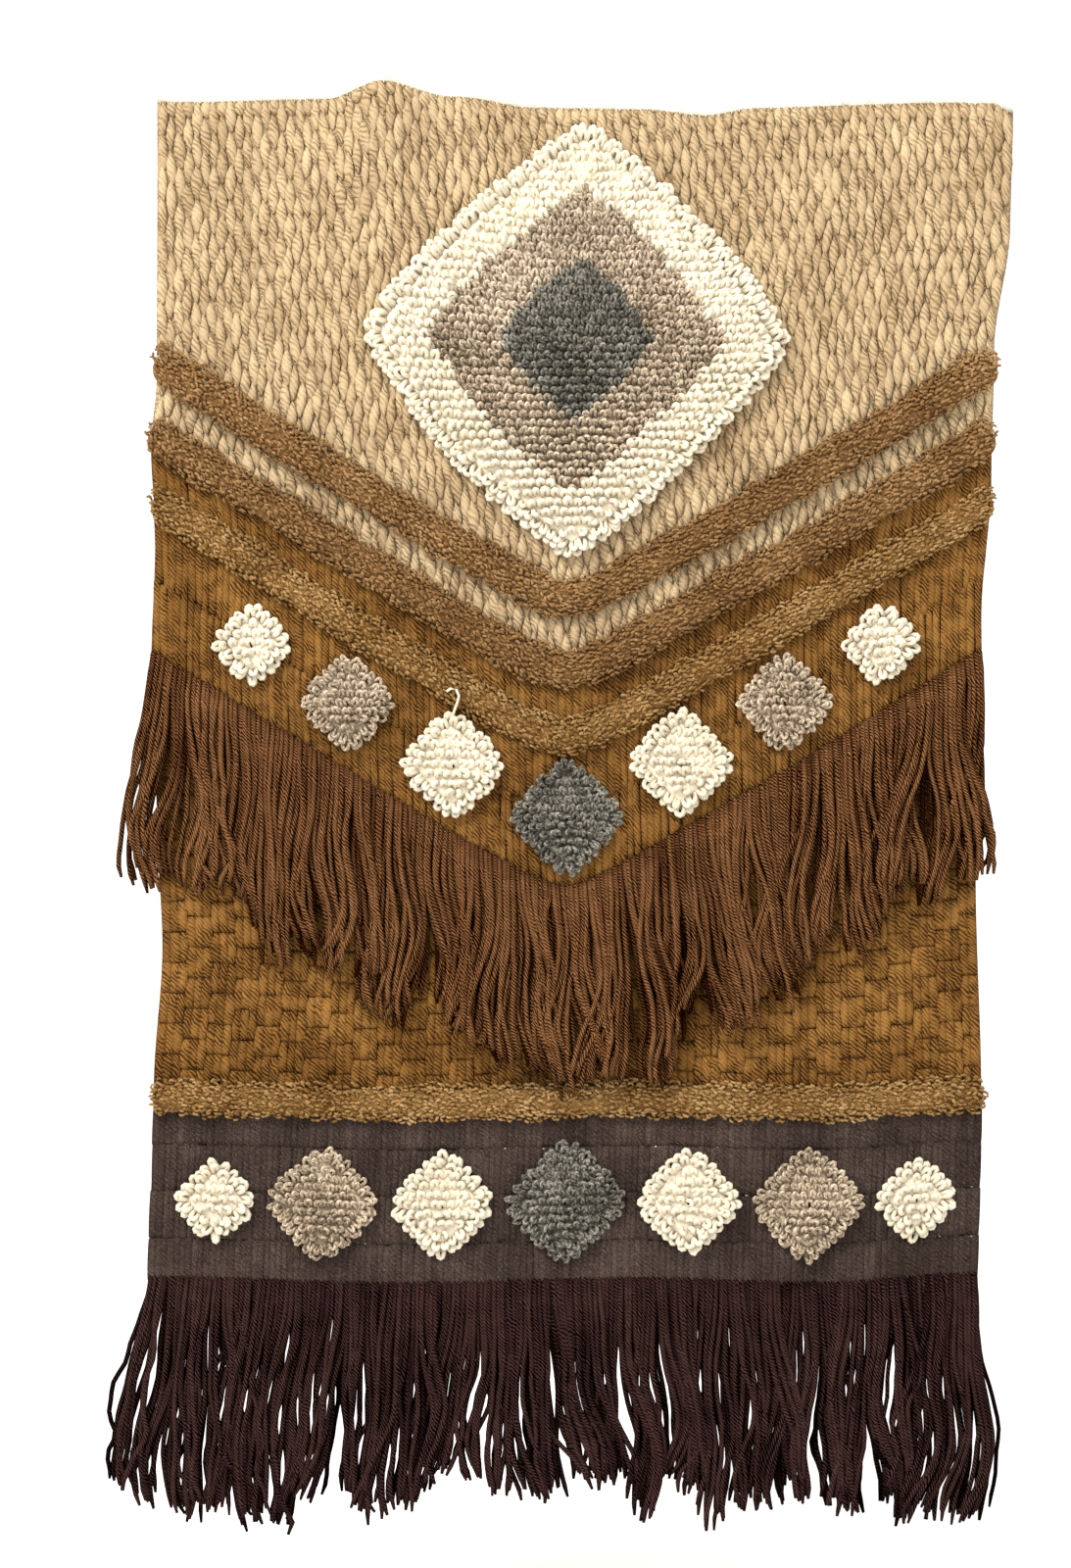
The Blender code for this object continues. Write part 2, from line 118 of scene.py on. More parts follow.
def add_node(tree, kind, inputs=None, **settings):
    """Adds a shader node of a kind, with its settings and inputs."""
    made = tree.nodes.new("ShaderNode" + kind)
    for name, value in settings.items():
        setattr(made, name, value)
    set_inputs(made, inputs or {})
    return made


# Floor paint: matt, with a faint roller stipple, drawn coarser than it is, that keeps its shine soft.
floor_paint = bpy.data.materials.new("matt_floor_paint")
floor_paint.use_nodes = True
tree = floor_paint.node_tree
stipple = add_node(tree, "TexNoise", {"Scale": FLOOR_SIZE / STIPPLE_SIZE})
bump = add_node(tree, "Bump", {"Height": stipple, "Distance": 0.2 * mm, "Strength": 0.2})
look = {"Base Color": linear(FLOOR_WHITE), "Roughness": 0.8, "Normal": bump}
set_inputs(tree.nodes["Principled BSDF"], look)

floor_mesh = bpy.data.meshes.new("floor")
reach = FLOOR_SIZE / 2
corners = [(-reach, -reach), (reach, -reach), (reach, reach), (-reach, reach)]
floor_mesh.from_pydata([(x, y, -FLOOR_DOWN) for x, y in corners], [], [(0, 1, 2, 3)])
floor_mesh.materials.append(floor_paint)
floor = bpy.data.objects.new("floor", floor_mesh)
bpy.context.scene.collection.objects.link(floor)
floor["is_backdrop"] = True

room = bpy.data.worlds.new("white_room")
room.use_nodes = True
bpy.context.scene.world = room
set_inputs(room.node_tree.nodes["Background"], {"Color": linear(ROOM_WHITE), "Strength": ROOM_STRENGTH})

for name, place, width, power in LAMPS:
    lamp = bpy.data.objects.new(name, bpy.data.lights.new(name, "AREA"))
    lamp.data.size = width
    lamp.data.energy = power
    lamp.location = place
    away = Vector(place) - Vector(LAMP_AIM)
    lamp.rotation_euler = away.to_track_quat("Z", "Y").to_euler()
    bpy.context.scene.collection.objects.link(lamp)
bpy.context.scene.view_settings.view_transform = "Standard"


# The canvas
# An open rug canvas of tan cotton, 600 by 825 mm once hemmed, that carries all the needlework and shows
# plain on the back. Its hem is folded back and tacked down, and it is held by its top edge.
CLOTH_WIDTH = 0.600
CLOTH_HEIGHT = 0.825
HALF_WIDTH = CLOTH_WIDTH / 2
FACE_LIFT = 5.5 * mm
CANVAS_THICKNESS = 1.6 * mm
CANVAS_THREAD = 1.5 * mm
HEM_WIDTH = 24 * mm
HEM_DEPTH = 1.0 * mm
HEM_STEP = 1.2 * mm
SLACK_TWIST = 0.2
CANVAS_COLUMNS = 100
CANVAS_ROWS = 112
CANVAS_SHADES = ("7f6a45", "a58c60", "c2ab80")

# How high the top edge and the foot stand over a level line, as (across, rise).
TOP_EDGE = (
    (-0.300, 0.004), (-0.180, 0.008), (-0.143, 0.018), (-0.090, 0.009), (-0.035, 0.001), (0.045, 0.000),
    (0.085, -0.004), (0.120, 0.001), (0.250, 0.004), (0.285, 0.003), (0.300, -0.004),
)
FOOT_EDGE = ((-0.300, 0.002), (-0.120, -0.003), (0.060, 0.001), (0.180, -0.002), (0.300, 0.004))
TOP_EDGE_REACH = 0.300

# How far each side stands out past the half width, as (down, rise).
LEFT_EDGE = (
    (0.000, -0.001), (0.190, 0.000), (0.240, 0.004), (0.300, 0.001), (0.400, 0.004), (0.500, 0.000),
    (0.590, -0.004), (0.690, 0.002), (0.840, 0.006),
)
RIGHT_EDGE = (
    (0.000, 0.000), (0.080, -0.001), (0.170, -0.012), (0.260, -0.014), (0.360, -0.021), (0.540, -0.025),
    (0.700, -0.021), (0.840, -0.024),
)

# The crease under the top edge's peak with the hollow beside it, and the corners that curl forward, as
# (across, down, height, half width, half length).
FOLDS = (
    (-0.143, 0.000, 0.012, 0.022, 0.080),
    (-0.205, 0.010, -0.004, 0.035, 0.075),
    (0.310, 0.000, 0.009, 0.050, 0.070),
    (-0.310, 0.000, 0.006, 0.045, 0.080),
    (0.085, 0.000, -0.003, 0.050, 0.050),
)
FOLD_BASE = 0.006
WAVE_HEIGHT = 0.003
WAVE_LENGTH = 0.520
WAVE_TOP_SHARE = 0.4


def smooth_step(share):
    """A share from 0 to 1 that starts and ends softly."""
    share = np.clip(share, 0.0, 1.0)
    return share * share * (3 - 2 * share)


def rise_at(edge, along):
    """The rise that an edge's table gives at each place, with a smooth run between its points."""
    places, rises = np.array(edge).T
    along = np.clip(along, places[0], places[-1])
    after = np.clip(np.searchsorted(places, along), 1, len(places) - 1)
    share = smooth_step((along - places[after - 1]) / (places[after] - places[after - 1]))
    return rises[after - 1] + (rises[after] - rises[after - 1]) * share


def hang(places):
    """Carries places on the flat cloth, as (across, down, lift), to the hanging cloth."""
    across, down, lift = np.moveaxis(np.asarray(places, float), -1, 0)
    left = -HALF_WIDTH - rise_at(LEFT_EDGE, down)
    right = HALF_WIDTH + rise_at(RIGHT_EDGE, down)
    x = left + (right - left) * (0.5 + across / CLOTH_WIDTH)
    top_share = 1 - smooth_step(down / TOP_EDGE_REACH)
    foot_share = smooth_step(down / CLOTH_HEIGHT)
    z = rise_at(TOP_EDGE, across) * top_share + rise_at(FOOT_EDGE, across) * foot_share - down
    billow = FOLD_BASE + np.zeros_like(x)
    for fold_across, fold_down, height, half_width, half_length in FOLDS:
        reach = ((across - fold_across) / half_width) ** 2 + ((down - fold_down) / half_length) ** 2
        billow += height * np.exp(-reach)
    wave_share = WAVE_TOP_SHARE + (1 - WAVE_TOP_SHARE) * down / CLOTH_HEIGHT
    billow += WAVE_HEIGHT * wave_share * np.sin(math.tau * across / WAVE_LENGTH)
    return np.stack([x, -billow - lift, z], axis=-1)


# Where each ground of needlework ends, as its place down at the middle and at the sides.
CHEVRON_SOFTNESS = 0.020
SAND_FOOT = (0.395, 0.220)
OCHRE_FOOT = (0.696, 0.696)


def chevron(line, across):
    """How far down a line lies that falls from the sides to a soft turn at the middle."""
    middle_down, edge_down = line
    reach = np.hypot(across, CHEVRON_SOFTNESS) - CHEVRON_SOFTNESS
    return middle_down + (edge_down - middle_down) * reach / HALF_WIDTH


# How many ridges the twist of a yarn strays by.
RIDGE_STRAY = 1.2


def wool(
    name, shades, ridges, ridge_run, relief,
    groove_painted_shade=0.6, spread=0.3, fuzziness=0.6, felted=0.7, marl=0.0, sheen=0.1, gloss=0.12,
):
    """Spun rug wool of several plies, felted a little by handling. ridges is how many ridges of twist go
    round a yarn and ridge_run how far along it one goes in passing to the next. Loose fibre runs along the
    ridges and blurs them, and the dye takes unevenly. The groove weight darkens the grooves of the twist
    with painted shade. spread, fuzziness and marl say how much the shade changes from strand to strand, by
    loose fibre, and from ply to ply; a strand's tone carries painted light and shade where a piece gives it
    one. felted is how much of a groove is filled where the fibre is most matted."""
    dark, mean, light = [linear(shade) for shade in shades]
    material = bpy.data.materials.new(name)
    material.use_nodes = True
    tree = material.node_tree
    uv = add_node(tree, "UVMap", uv_map="yarn")
    round_yarn, along_yarn, _ = add_node(tree, "SeparateXYZ", {0: uv}).outputs
    strand = add_node(tree, "Attribute", attribute_name="strand")
    tone_and_painted_shade, twist, seed = add_node(tree, "SeparateXYZ", {0: strand.outputs["Vector"]}).outputs

    # Noise for slack spinning, matted patches, fuzz, and dye over a few centimetres. Fuzz is 0.9 mm wide,
    # far coarser than real fibres, so that it shows.
    place = add_node(tree, "TexCoord").outputs["Object"]
    slack, matting, fuzz, dye = [
        add_node(tree, "TexNoise", {"Vector": place, "Scale": 1 / size, "Detail": detail})
        for size, detail in ((6 * mm, 0.0), (8 * mm, 0.0), (0.9 * mm, 1.0), (38 * mm, 0.0))
    ]

    # The twist: its phase grows round the yarn and along it, by one for each ridge. The ridges stray most
    # in the slack yarn of pressed feet, where they turn to curls.
    along = add_node(tree, "Math", {0: along_yarn, 1: 1 / ridge_run}, operation="MULTIPLY")
    along = add_node(tree, "Math", {0: along, 1: twist}, operation="MULTIPLY")
    stray = add_node(tree, "Math", {0: RIDGE_STRAY, 1: twist}, operation="DIVIDE")
    along = add_node(tree, "Math", {0: slack, 1: stray, 2: along}, operation="MULTIPLY_ADD")
    phase = add_node(tree, "Math", {0: round_yarn, 1: float(ridges), 2: along}, operation="MULTIPLY_ADD")
    groove = phase
    for operation, amount in (("MULTIPLY", math.pi), ("SINE", 0.0), ("ABSOLUTE", 0.0), ("SUBTRACT", 1.0)):
        groove = add_node(tree, "Math", {0: groove, 1: amount}, operation=operation)
    open_share = add_node(tree, "MapRange", {0: matting, 1: 0.35, 2: 0.65, 3: 1.0 - felted, 4: 1.0})
    ply = add_node(tree, "Math", {0: groove, 1: open_share, 2: 1.0}, operation="MULTIPLY_ADD")

    # Fibre streaks along the ridges that differ from strand to strand. They are 5 mm long and about five to
    # a ridge, coarser than real fibres too.
    streak = add_node(tree, "CombineXYZ", {0: phase, 1: along_yarn, 2: seed})
    streak = add_node(tree, "VectorMath", {0: streak, 1: (5.0, 1 / (5 * mm), 50.0)}, operation="MULTIPLY")
    streaks = add_node(tree, "TexNoise", {"Vector": streak, "Scale": 1.0, "Detail": 1.0})

    # The shade adds what each of these gives round the middle of the yarn's three shades. The first is
    # painted shade, which darkens the grooves of the twist, and the strand's tone carries painted light and
    # shade where a piece gives it one. A groove is 0.36 deep on average, and every other ply in a marled yarn
    # is spun from a paler fleece.
    parity = add_node(tree, "Math", {0: phase, 1: 2.0}, operation="FLOORED_MODULO")
    pale_ply = add_node(tree, "Math", {0: parity, 1: 1.0}, operation="LESS_THAN")
    parts = (
        (ply, groove_painted_shade, 1 - 0.36 * (1 - felted / 2)),
        (tone_and_painted_shade, spread, 0.5),
        (streaks, 0.30, 0.5),
        (fuzz, fuzziness, 0.5),
        (dye, 0.55, 0.5),
        (pale_ply, marl, 0.5),
    )
    shade = 0.5 - sum(weight * middle for _, weight, middle in parts)
    for source, weight, _ in parts:
        shade = add_node(tree, "Math", {0: source, 1: weight, 2: shade}, operation="MULTIPLY_ADD")
    low = add_node(tree, "MapRange", {0: shade, 1: 0.0, 2: 0.5})
    high = add_node(tree, "MapRange", {0: shade, 1: 0.5, 2: 1.0})
    colour = add_node(tree, "Mix", {0: low, 6: dark, 7: mean}, data_type="RGBA").outputs[2]
    colour = add_node(tree, "Mix", {0: high, 6: colour, 7: light}, data_type="RGBA").outputs[2]

    rough = add_node(tree, "MapRange", {0: fuzz, 3: 0.80, 4: 0.98})
    height = add_node(tree, "Math", {0: streaks, 1: 0.12, 2: ply}, operation="MULTIPLY_ADD")
    height = add_node(tree, "Math", {0: fuzz, 1: 0.18, 2: height}, operation="MULTIPLY_ADD")
    bump = add_node(tree, "Bump", {"Height": height, "Distance": relief, "Strength": 1.0})
    look = {"Base Color": colour, "Roughness": rough, "Normal": bump, "IOR": 1.55}
    shine = {"Specular IOR Level": gloss, "Sheen Weight": sheen, "Sheen Roughness": 0.6, "Sheen Tint": light}
    set_inputs(tree.nodes["Principled BSDF"], look | shine)
    return material


# The grounds' wools: soft sand with steep open plies, firmer ochre, and a fine fuzzy dark brown.
sand_wool = wool(
    "sand_rug_wool", ("7b6241", "9e8767", "b8a27c"), ridges=4, ridge_run=4.4 * mm, relief=0.7 * mm,
    groove_painted_shade=0.7,
)
ochre_wool = wool(
    "ochre_rug_wool", ("2e1803", "62411b", "886130"), ridges=5, ridge_run=3.2 * mm, relief=0.8 * mm,
    groove_painted_shade=1.0, spread=0.2, fuzziness=0.8, sheen=0.05, gloss=0.06,
)
dark_wool = wool(
    "dark_brown_rug_wool", ("170e0c", "332823", "544840"), ridges=4, ridge_run=3.4 * mm, relief=0.3 * mm,
    groove_painted_shade=0.3, spread=0.15, fuzziness=1.3, sheen=0.03, gloss=0.05,
)

# Cotton canvas: plain woven, so over-and-under threads catch the light in a fine even grid. The bump draws
# the grid, and the colour repeats it as painted light and shade.
canvas_cotton = bpy.data.materials.new("woven_cotton_canvas")
canvas_cotton.use_nodes = True
tree = canvas_cotton.node_tree
uv = add_node(tree, "UVMap", uv_map="yarn")
threads = add_node(tree, "VectorMath", {0: uv, "Scale": math.pi / CANVAS_THREAD}, operation="SCALE")
across_threads, down_threads, _ = add_node(tree, "SeparateXYZ", {0: threads}).outputs
warp = add_node(tree, "Math", {0: across_threads}, operation="SINE")
weft = add_node(tree, "Math", {0: down_threads}, operation="SINE")
weave = add_node(tree, "Math", {0: warp, 1: weft}, operation="MULTIPLY")
weave = add_node(tree, "MapRange", {0: weave, 1: -1.0, 2: 1.0})
place = add_node(tree, "TexCoord").outputs["Object"]
slub = add_node(tree, "TexNoise", {"Vector": place, "Scale": 1 / (2.2 * mm), "Detail": 4.0})
age = add_node(tree, "TexNoise", {"Vector": place, "Scale": 1 / (90 * mm), "Detail": 3.0})
# Painted light and shade of the weave, over the slubs of the thread.
shade = add_node(tree, "Math", {0: slub, 1: 0.5}, operation="MULTIPLY")
shade = add_node(tree, "Math", {0: weave, 1: 0.35, 2: shade}, operation="MULTIPLY_ADD")
dark, mean, light = [linear(hex_colour) for hex_colour in CANVAS_SHADES]
colour = add_node(tree, "Mix", {0: shade, 6: dark, 7: light}, data_type="RGBA").outputs[2]
colour = add_node(tree, "Mix", {0: age, 6: colour, 7: mean}, data_type="RGBA").outputs[2]
rough = add_node(tree, "MapRange", {0: slub, 3: 0.8, 4: 0.95})
bump = add_node(tree, "Bump", {"Height": weave, "Distance": 0.35 * mm, "Strength": 0.9})
look = {"Base Color": colour, "Roughness": rough, "Normal": bump, "IOR": 1.53}
set_inputs(tree.nodes["Principled BSDF"], look | {"Specular IOR Level": 0.3, "Sheen Weight": 0.1})


def make_piece(name, points, faces, corner_uvs, traits, materials, face_materials=None):
    """A piece from places on the flat cloth, hung. traits are each point's tone, which carries painted light
    and shade in some pieces, its twist and its seed.
    """
    mesh = bpy.data.meshes.new(name)
    mesh.from_pydata(hang(points).tolist(), [], faces)
    layer = mesh.uv_layers.new(name="yarn")
    layer.data.foreach_set("uv", np.asarray(corner_uvs, np.float32).ravel())
    attribute = mesh.attributes.new("strand", "FLOAT_VECTOR", "POINT")
    attribute.data.foreach_set("vector", np.asarray(traits, np.float32).ravel())
    for material in materials:
        mesh.materials.append(material)
    if face_materials is not None:
        mesh.polygons.foreach_set("material_index", np.asarray(face_materials, np.int32))
    mesh.shade_smooth()
    piece = bpy.data.objects.new(name, mesh)
    bpy.context.scene.collection.objects.link(piece)
    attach(piece, "root")
    return piece


def on_cloth(across, down, lift):
    """Places on the flat cloth, or ways over it, from their three parts."""
    return np.stack(np.broadcast_arrays(across, down, lift), axis=-1)


def grid_lines(low, high, cells):
    """Even lines over the canvas, with one more on either side of each hem's inner edge."""
    beside = np.array([HEM_WIDTH - HEM_STEP / 2, HEM_WIDTH + HEM_STEP / 2])
    return np.sort(np.concatenate([np.linspace(low, high, cells + 1), low + beside, high - beside]))


canvas_across = grid_lines(-HALF_WIDTH, HALF_WIDTH, CANVAS_COLUMNS)
canvas_down = grid_lines(0, CLOTH_HEIGHT, CANVAS_ROWS)
grid_down, grid_across = np.meshgrid(canvas_down, canvas_across, indexing="ij")
to_end = np.minimum(grid_down, CLOTH_HEIGHT - grid_down)
to_edge = np.minimum(HALF_WIDTH - np.abs(grid_across), to_end)
back_lift = HEM_DEPTH * (smooth_step((to_edge - HEM_WIDTH) / HEM_STEP + 0.5) - 1)
front = on_cloth(grid_across, grid_down, CANVAS_THICKNESS).reshape(-1, 3)
back = on_cloth(grid_across, grid_down, back_lift).reshape(-1, 3)
index = np.arange(len(front)).reshape(grid_across.shape)
cells = np.stack([index[:-1, :-1], index[1:, :-1], index[1:, 1:], index[:-1, 1:]], axis=-1).reshape(-1, 4)
rim = np.concatenate([index[0, :-1], index[:-1, -1], index[-1, :0:-1], index[:0:-1, 0]])
rim_next = np.roll(rim, -1)
sides = np.stack([rim, rim_next, rim_next + len(front), rim + len(front)], axis=-1)
canvas_faces = np.concatenate([cells, cells[:, ::-1] + len(front), sides])
canvas_points = np.concatenate([front, back])

# Where the front shows between stitches it is the wool's pressed feet, in the colour of the ground, given the
# darkest tone as painted shade between the stitches. They are so slack that their twist is lost in curls.
BACK, SAND_FEET, OCHRE_FEET, DARK_FEET = range(4)
cell_middle = front[cells].mean(axis=1)
feet = np.where(cell_middle[:, 1] < chevron(SAND_FOOT, cell_middle[:, 0]), SAND_FEET, OCHRE_FEET)
feet = np.where(cell_middle[:, 1] > OCHRE_FOOT[0], DARK_FEET, feet)
# The front's feet have no run of yarn, so their place along it is left at nought.
canvas_uvs = canvas_points[canvas_faces.ravel()][:, :2]
canvas_uvs[: cells.size] = 0
canvas = make_piece(
    "canvas",
    canvas_points,
    canvas_faces.tolist(),
    canvas_uvs,
    # The darkest tone, as painted shade on the feet.
    np.tile([0.0, SLACK_TWIST, 0.5], (len(canvas_points), 1)),
    [canvas_cotton, sand_wool, ochre_wool, dark_wool],
    np.concatenate([feet, np.full(len(cells) + len(sides), BACK)]),
)
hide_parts("panel")


# The hem thread
# White cotton whipped over the folded top edge of the canvas in short slanting stitches, which show as a
# thin pale line, and tacked over the hem's inner edge on the back. The canvas shows as pale flecks in the
# seams of the dark border.
WHIP_PITCH = 4.6 * mm
WHIP_YARN = 0.55 * mm
# The points of a whip stitch, as how far across and down from its middle, and its lift.
WHIP_POINTS = ((-1.2 * mm, 0.2 * mm, 0.0), (0.0, -1.3 * mm, 1.6 * mm), (1.2 * mm, 2.6 * mm, 3.0 * mm))
# The thread that is laid along the fold, under the whip stitches.
FOLD_YARN = 1.5 * mm
FOLD_STATIONS = 90
TACK_PITCH = 11 * mm
TACK_YARN = 0.45 * mm
# The points of a tack, as how far out from the hem's inner edge and its lift.
TACK_POINTS = ((2.2 * mm, -0.9 * mm), (0.4 * mm, -1.4 * mm), (-2.4 * mm, 0.1 * mm))
FLECKS = 45
FLECK_SIZE = 0.9 * mm
FLECK_LIFT = 3.4 * mm
FLECK_LINES = (0.7105, 0.729, 0.762, 0.795, 0.823)

# Everything uneven in the work is drawn from this one seeded generator.
chance = np.random.default_rng(17)

# Bleached cotton thread: two plies, hard twisted, so it draws a finer and smoother line than the wool.
white_cotton = wool(
    "white_cotton_thread", ("8d8575", "c9c1ae", "ebe5d6"), ridges=2, ridge_run=0.8 * mm, relief=0.1 * mm,
    sheen=0.05,
)


class YarnHeap:
    """Lengths of yarn that are gathered for one piece."""

    def __init__(self):
        self.points, self.faces, self.uvs, self.traits, self.count = [], [], [], [], 0

    def add(self, paths, half_widths, half_heights, sides, aside, tone_and_painted_shade=None, twist=1.0):
        """Adds a closed length of yarn along each path. aside is the way that its width runs. A corner of
        its section points outward, and twist is how hard it is spun."""
        number, stations, _ = paths.shape
        along = np.gradient(paths, axis=1)
        along /= np.linalg.norm(along, axis=2, keepdims=True)
        aside = np.broadcast_to(np.asarray(aside, float).reshape(-1, 1, 3), paths.shape)
        aside = aside - (aside * along).sum(axis=2, keepdims=True) * along
        aside /= np.linalg.norm(aside, axis=2, keepdims=True)
        outward = np.cross(aside, along)
        turn = math.pi / 2 + math.tau * (np.arange(sides) - sides // 2) / sides
        wide = np.broadcast_to(half_widths, (number, stations))[..., None, None] * np.cos(turn)[:, None]
        high = np.broadcast_to(half_heights, (number, stations))[..., None, None] * np.sin(turn)[:, None]
        rings = paths[:, :, None] + wide * aside[:, :, None] + high * outward[:, :, None]
        steps = np.linalg.norm(np.diff(paths, axis=1), axis=2)
        run = np.concatenate([np.zeros((number, 1)), np.cumsum(steps, axis=1)], axis=1)
        run += chance.uniform(0, 0.1, (number, 1))

        index = np.arange(number * stations * sides).reshape(number, stations, sides) + self.count
        after = np.roll(index, -1, axis=2)
        quads = np.stack([index[:, :-1], after[:, :-1], after[:, 1:], index[:, 1:]], axis=-1)
        shares = np.arange(sides) / sides
        near, near_run, far_run = np.broadcast_arrays(shares, run[:, :-1, None], run[:, 1:, None])
        far = near + 1 / sides
        quad_uvs = np.stack([near, near_run, far, near_run, far, far_run, near, far_run], axis=-1)
        self.faces.extend(quads.reshape(-1, 4).tolist())
        self.uvs.append(quad_uvs.reshape(-1, 2))
        for ends, at in ((index[:, 0, ::-1], 0), (index[:, -1], -1)):
            self.faces.extend(ends.tolist())
            end_uvs = np.broadcast_arrays(shares, run[:, at, None])
            self.uvs.append(np.stack(end_uvs, axis=-1).reshape(-1, 2))
        self.points.append(rings.reshape(-1, 3))
        tones_and_painted_shades = chance.uniform(0, 1, number) if tone_and_painted_shade is None else np.broadcast_to(tone_and_painted_shade, number)
        twists = twist * chance.uniform(0.88, 1.12, number)
        traits = np.stack([tones_and_painted_shades, twists, chance.uniform(0, 1, number)], axis=-1)
        self.traits.append(np.repeat(traits, stations * sides, axis=0))
        self.count += number * stations * sides

    def piece(self, name, material, slot, *replaced):
        """Makes the piece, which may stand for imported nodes."""
        points, uvs, traits = [np.concatenate(parts) for parts in (self.points, self.uvs, self.traits)]
        made = make_piece(name, points, self.faces, uvs, traits, [material])
        if replaced:
            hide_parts(*replaced)
        return made


hem_heap = YarnHeap()
fold_across = np.linspace(-HALF_WIDTH, HALF_WIDTH, FOLD_STATIONS)
fold_path = on_cloth(fold_across, 0.4 * mm, 1.2 * mm)
hem_heap.add(fold_path[None], FOLD_YARN, FOLD_YARN, 6, (0, 1, 0))
whips = int(CLOTH_WIDTH / WHIP_PITCH)
whip_across = (np.arange(whips) + 0.5) * WHIP_PITCH - HALF_WIDTH + chance.normal(0, 0.5 * mm, whips)
whip_paths = on_cloth(whip_across[:, None], 0.0, 0.0) + np.array(WHIP_POINTS)
hem_heap.add(whip_paths, WHIP_YARN, WHIP_YARN, 5, (1, 0.3, 0))
half_across, half_down = HALF_WIDTH - HEM_WIDTH, CLOTH_HEIGHT / 2 - HEM_WIDTH
out, lift = np.array(TACK_POINTS).T
for out_across, out_down in ((-1, 0), (1, 0), (0, -1), (0, 1)):
    half_run = half_down if out_across else half_across
    along_hem = np.arange(-half_run, half_run, TACK_PITCH)[:, None]
    tack_across = out_across * half_across + abs(out_down) * along_hem
    tack_down = CLOTH_HEIGHT / 2 + out_down * half_down + abs(out_across) * along_hem
    tack_paths = on_cloth(
        tack_across + out * (out_across + 0.5 * out_down),
        tack_down + out * (out_down + 0.5 * out_across),
        lift,
    )
    hem_heap.add(tack_paths, TACK_YARN, TACK_YARN, 4, (abs(out_down), abs(out_across), 0))
fleck_down = chance.choice(FLECK_LINES, FLECKS) + chance.normal(0, 0.6 * mm, FLECKS)
fleck_across = chance.uniform(-HALF_WIDTH + 2 * mm, HALF_WIDTH - 2 * mm, FLECKS)
fleck_half = FLECK_SIZE * chance.uniform(0.4, 1.0, FLECKS)[:, None]
fleck_paths = on_cloth(
    fleck_across[:, None] + fleck_half * np.array([-1, 0, 1]), fleck_down[:, None], FLECK_LIFT
)
hem_heap.add(fleck_paths, fleck_half * 0.5, fleck_half * 0.5, 4, (0, 1, 0))
hem_thread = hem_heap.piece("hem_thread", white_cotton, "cotton_canvas")


# The sand needlework
# Long upright stitches of soft sand wool over the canvas threads. Each column starts half a stitch lower
# than the last, so a stitch is squeezed by its neighbours at both ends and swells like a leaf between.
STITCH_COLUMNS = 101
STITCH_PITCH = CLOTH_WIDTH / (STITCH_COLUMNS + 0.4)
SAND_TOP = (1.4 * mm, 1.4 * mm)
SAND_REPEAT = 23.0 * mm
SAND_STITCH = 24.0 * mm
# The form of a ground's stitches, with each size as (at the ends, added at the middle).
SAND_FORM = {
    "half_width": (0.8 * mm, 3.2 * mm),
    "half_height": (0.9 * mm, 1.6 * mm),
    "lift": (1.4 * mm, 1.8 * mm),
    "belly": 0.75,
    "lean": 0.07,
    "stations": 8,
}
SHORTEST_STITCH = 7 * mm
# How far a stitch may sink without coming through the back.
DEEPEST_SINK = 0.4 * mm


def stitch_ends(repeat, length, block, top, foot, spread):
    """The stitches of a ground, as (across, upper end, lower end), cut short at its top and foot lines.
    Every other block of columns starts half a repeat lower."""
    rows = int(CLOTH_HEIGHT / repeat) + 3
    column, row = np.mgrid[:STITCH_COLUMNS, -1:rows]
    across = (column - (STITCH_COLUMNS - 1) / 2) * STITCH_PITCH
    across = across + chance.normal(0, spread * 0.3, column.shape)
    start = (row + 0.5 * (column // block % 2)) * repeat + chance.normal(0, spread, column.shape)
    end = start + length + chance.normal(0, spread, column.shape)
    upper, lower = chevron(top, across), chevron(foot, across)
    kept = (np.minimum(end, lower) - np.maximum(start, upper)) > SHORTEST_STITCH
    start, end = np.maximum(start, upper), np.minimum(end, lower)
    return across[kept], start[kept], end[kept]


def upright_stitches(
    heap, across, start, end,
    half_width, half_height, lift, belly, lean=0.0, stations=6, sides=6, unevenness=1.0,
):
    """Stitches that rise out of the canvas, swell and go down again. belly is how soon a stitch is at its
    full size: the smaller, the sooner."""
    share = 0.5 - 0.5 * np.cos(np.linspace(0, np.pi, stations))
    swell = np.sin(np.pi * np.clip(share, 0.02, 0.98)) ** belly
    across, start, end = np.stack([across, start, end])[..., None]
    slant = lean + chance.normal(0, 0.06 * unevenness, across.shape)
    rise = chance.normal(0, 0.3 * mm * unevenness, across.shape)
    paths = on_cloth(
        across + slant * (end - start) * (share - 0.5),
        start + (end - start) * share,
        lift[0] + lift[1] * swell + np.maximum(rise, -DEEPEST_SINK),
    )
    plump = chance.normal(1, 0.08, across.shape)
    wide = (half_width[0] + half_width[1] * swell) * plump
    high = (half_height[0] + half_height[1] * swell) * plump
    heap.add(paths, wide, high, sides, (1, 0, 0))


# The large lozenge, under which the stitches are left out, has sides that bow a little outward.
LOZENGE_MIDDLE = (0.0, 0.165)
LOZENGE_HALF = 0.150
CORNER_SOFTNESS = 1.15
HIDDEN_SHARE = 0.88


def lozenge_reach(across, down):
    """How large a lozenge round the middle of these places would just reach each of them."""
    return (np.abs(across) ** CORNER_SOFTNESS + np.abs(down) ** CORNER_SOFTNESS) ** (1 / CORNER_SOFTNESS)


sand_heap = YarnHeap()
across, start, end = stitch_ends(SAND_REPEAT, SAND_STITCH, 1, SAND_TOP, SAND_FOOT, 0.9 * mm)
middle_down = (start + end) / 2 - LOZENGE_MIDDLE[1]
shown = lozenge_reach(across - LOZENGE_MIDDLE[0], middle_down) > LOZENGE_HALF * HIDDEN_SHARE
upright_stitches(sand_heap, across[shown], start[shown], end[shown], **SAND_FORM)
sand_stitches = sand_heap.piece("sand_stitches", sand_wool, "sand_needlework")


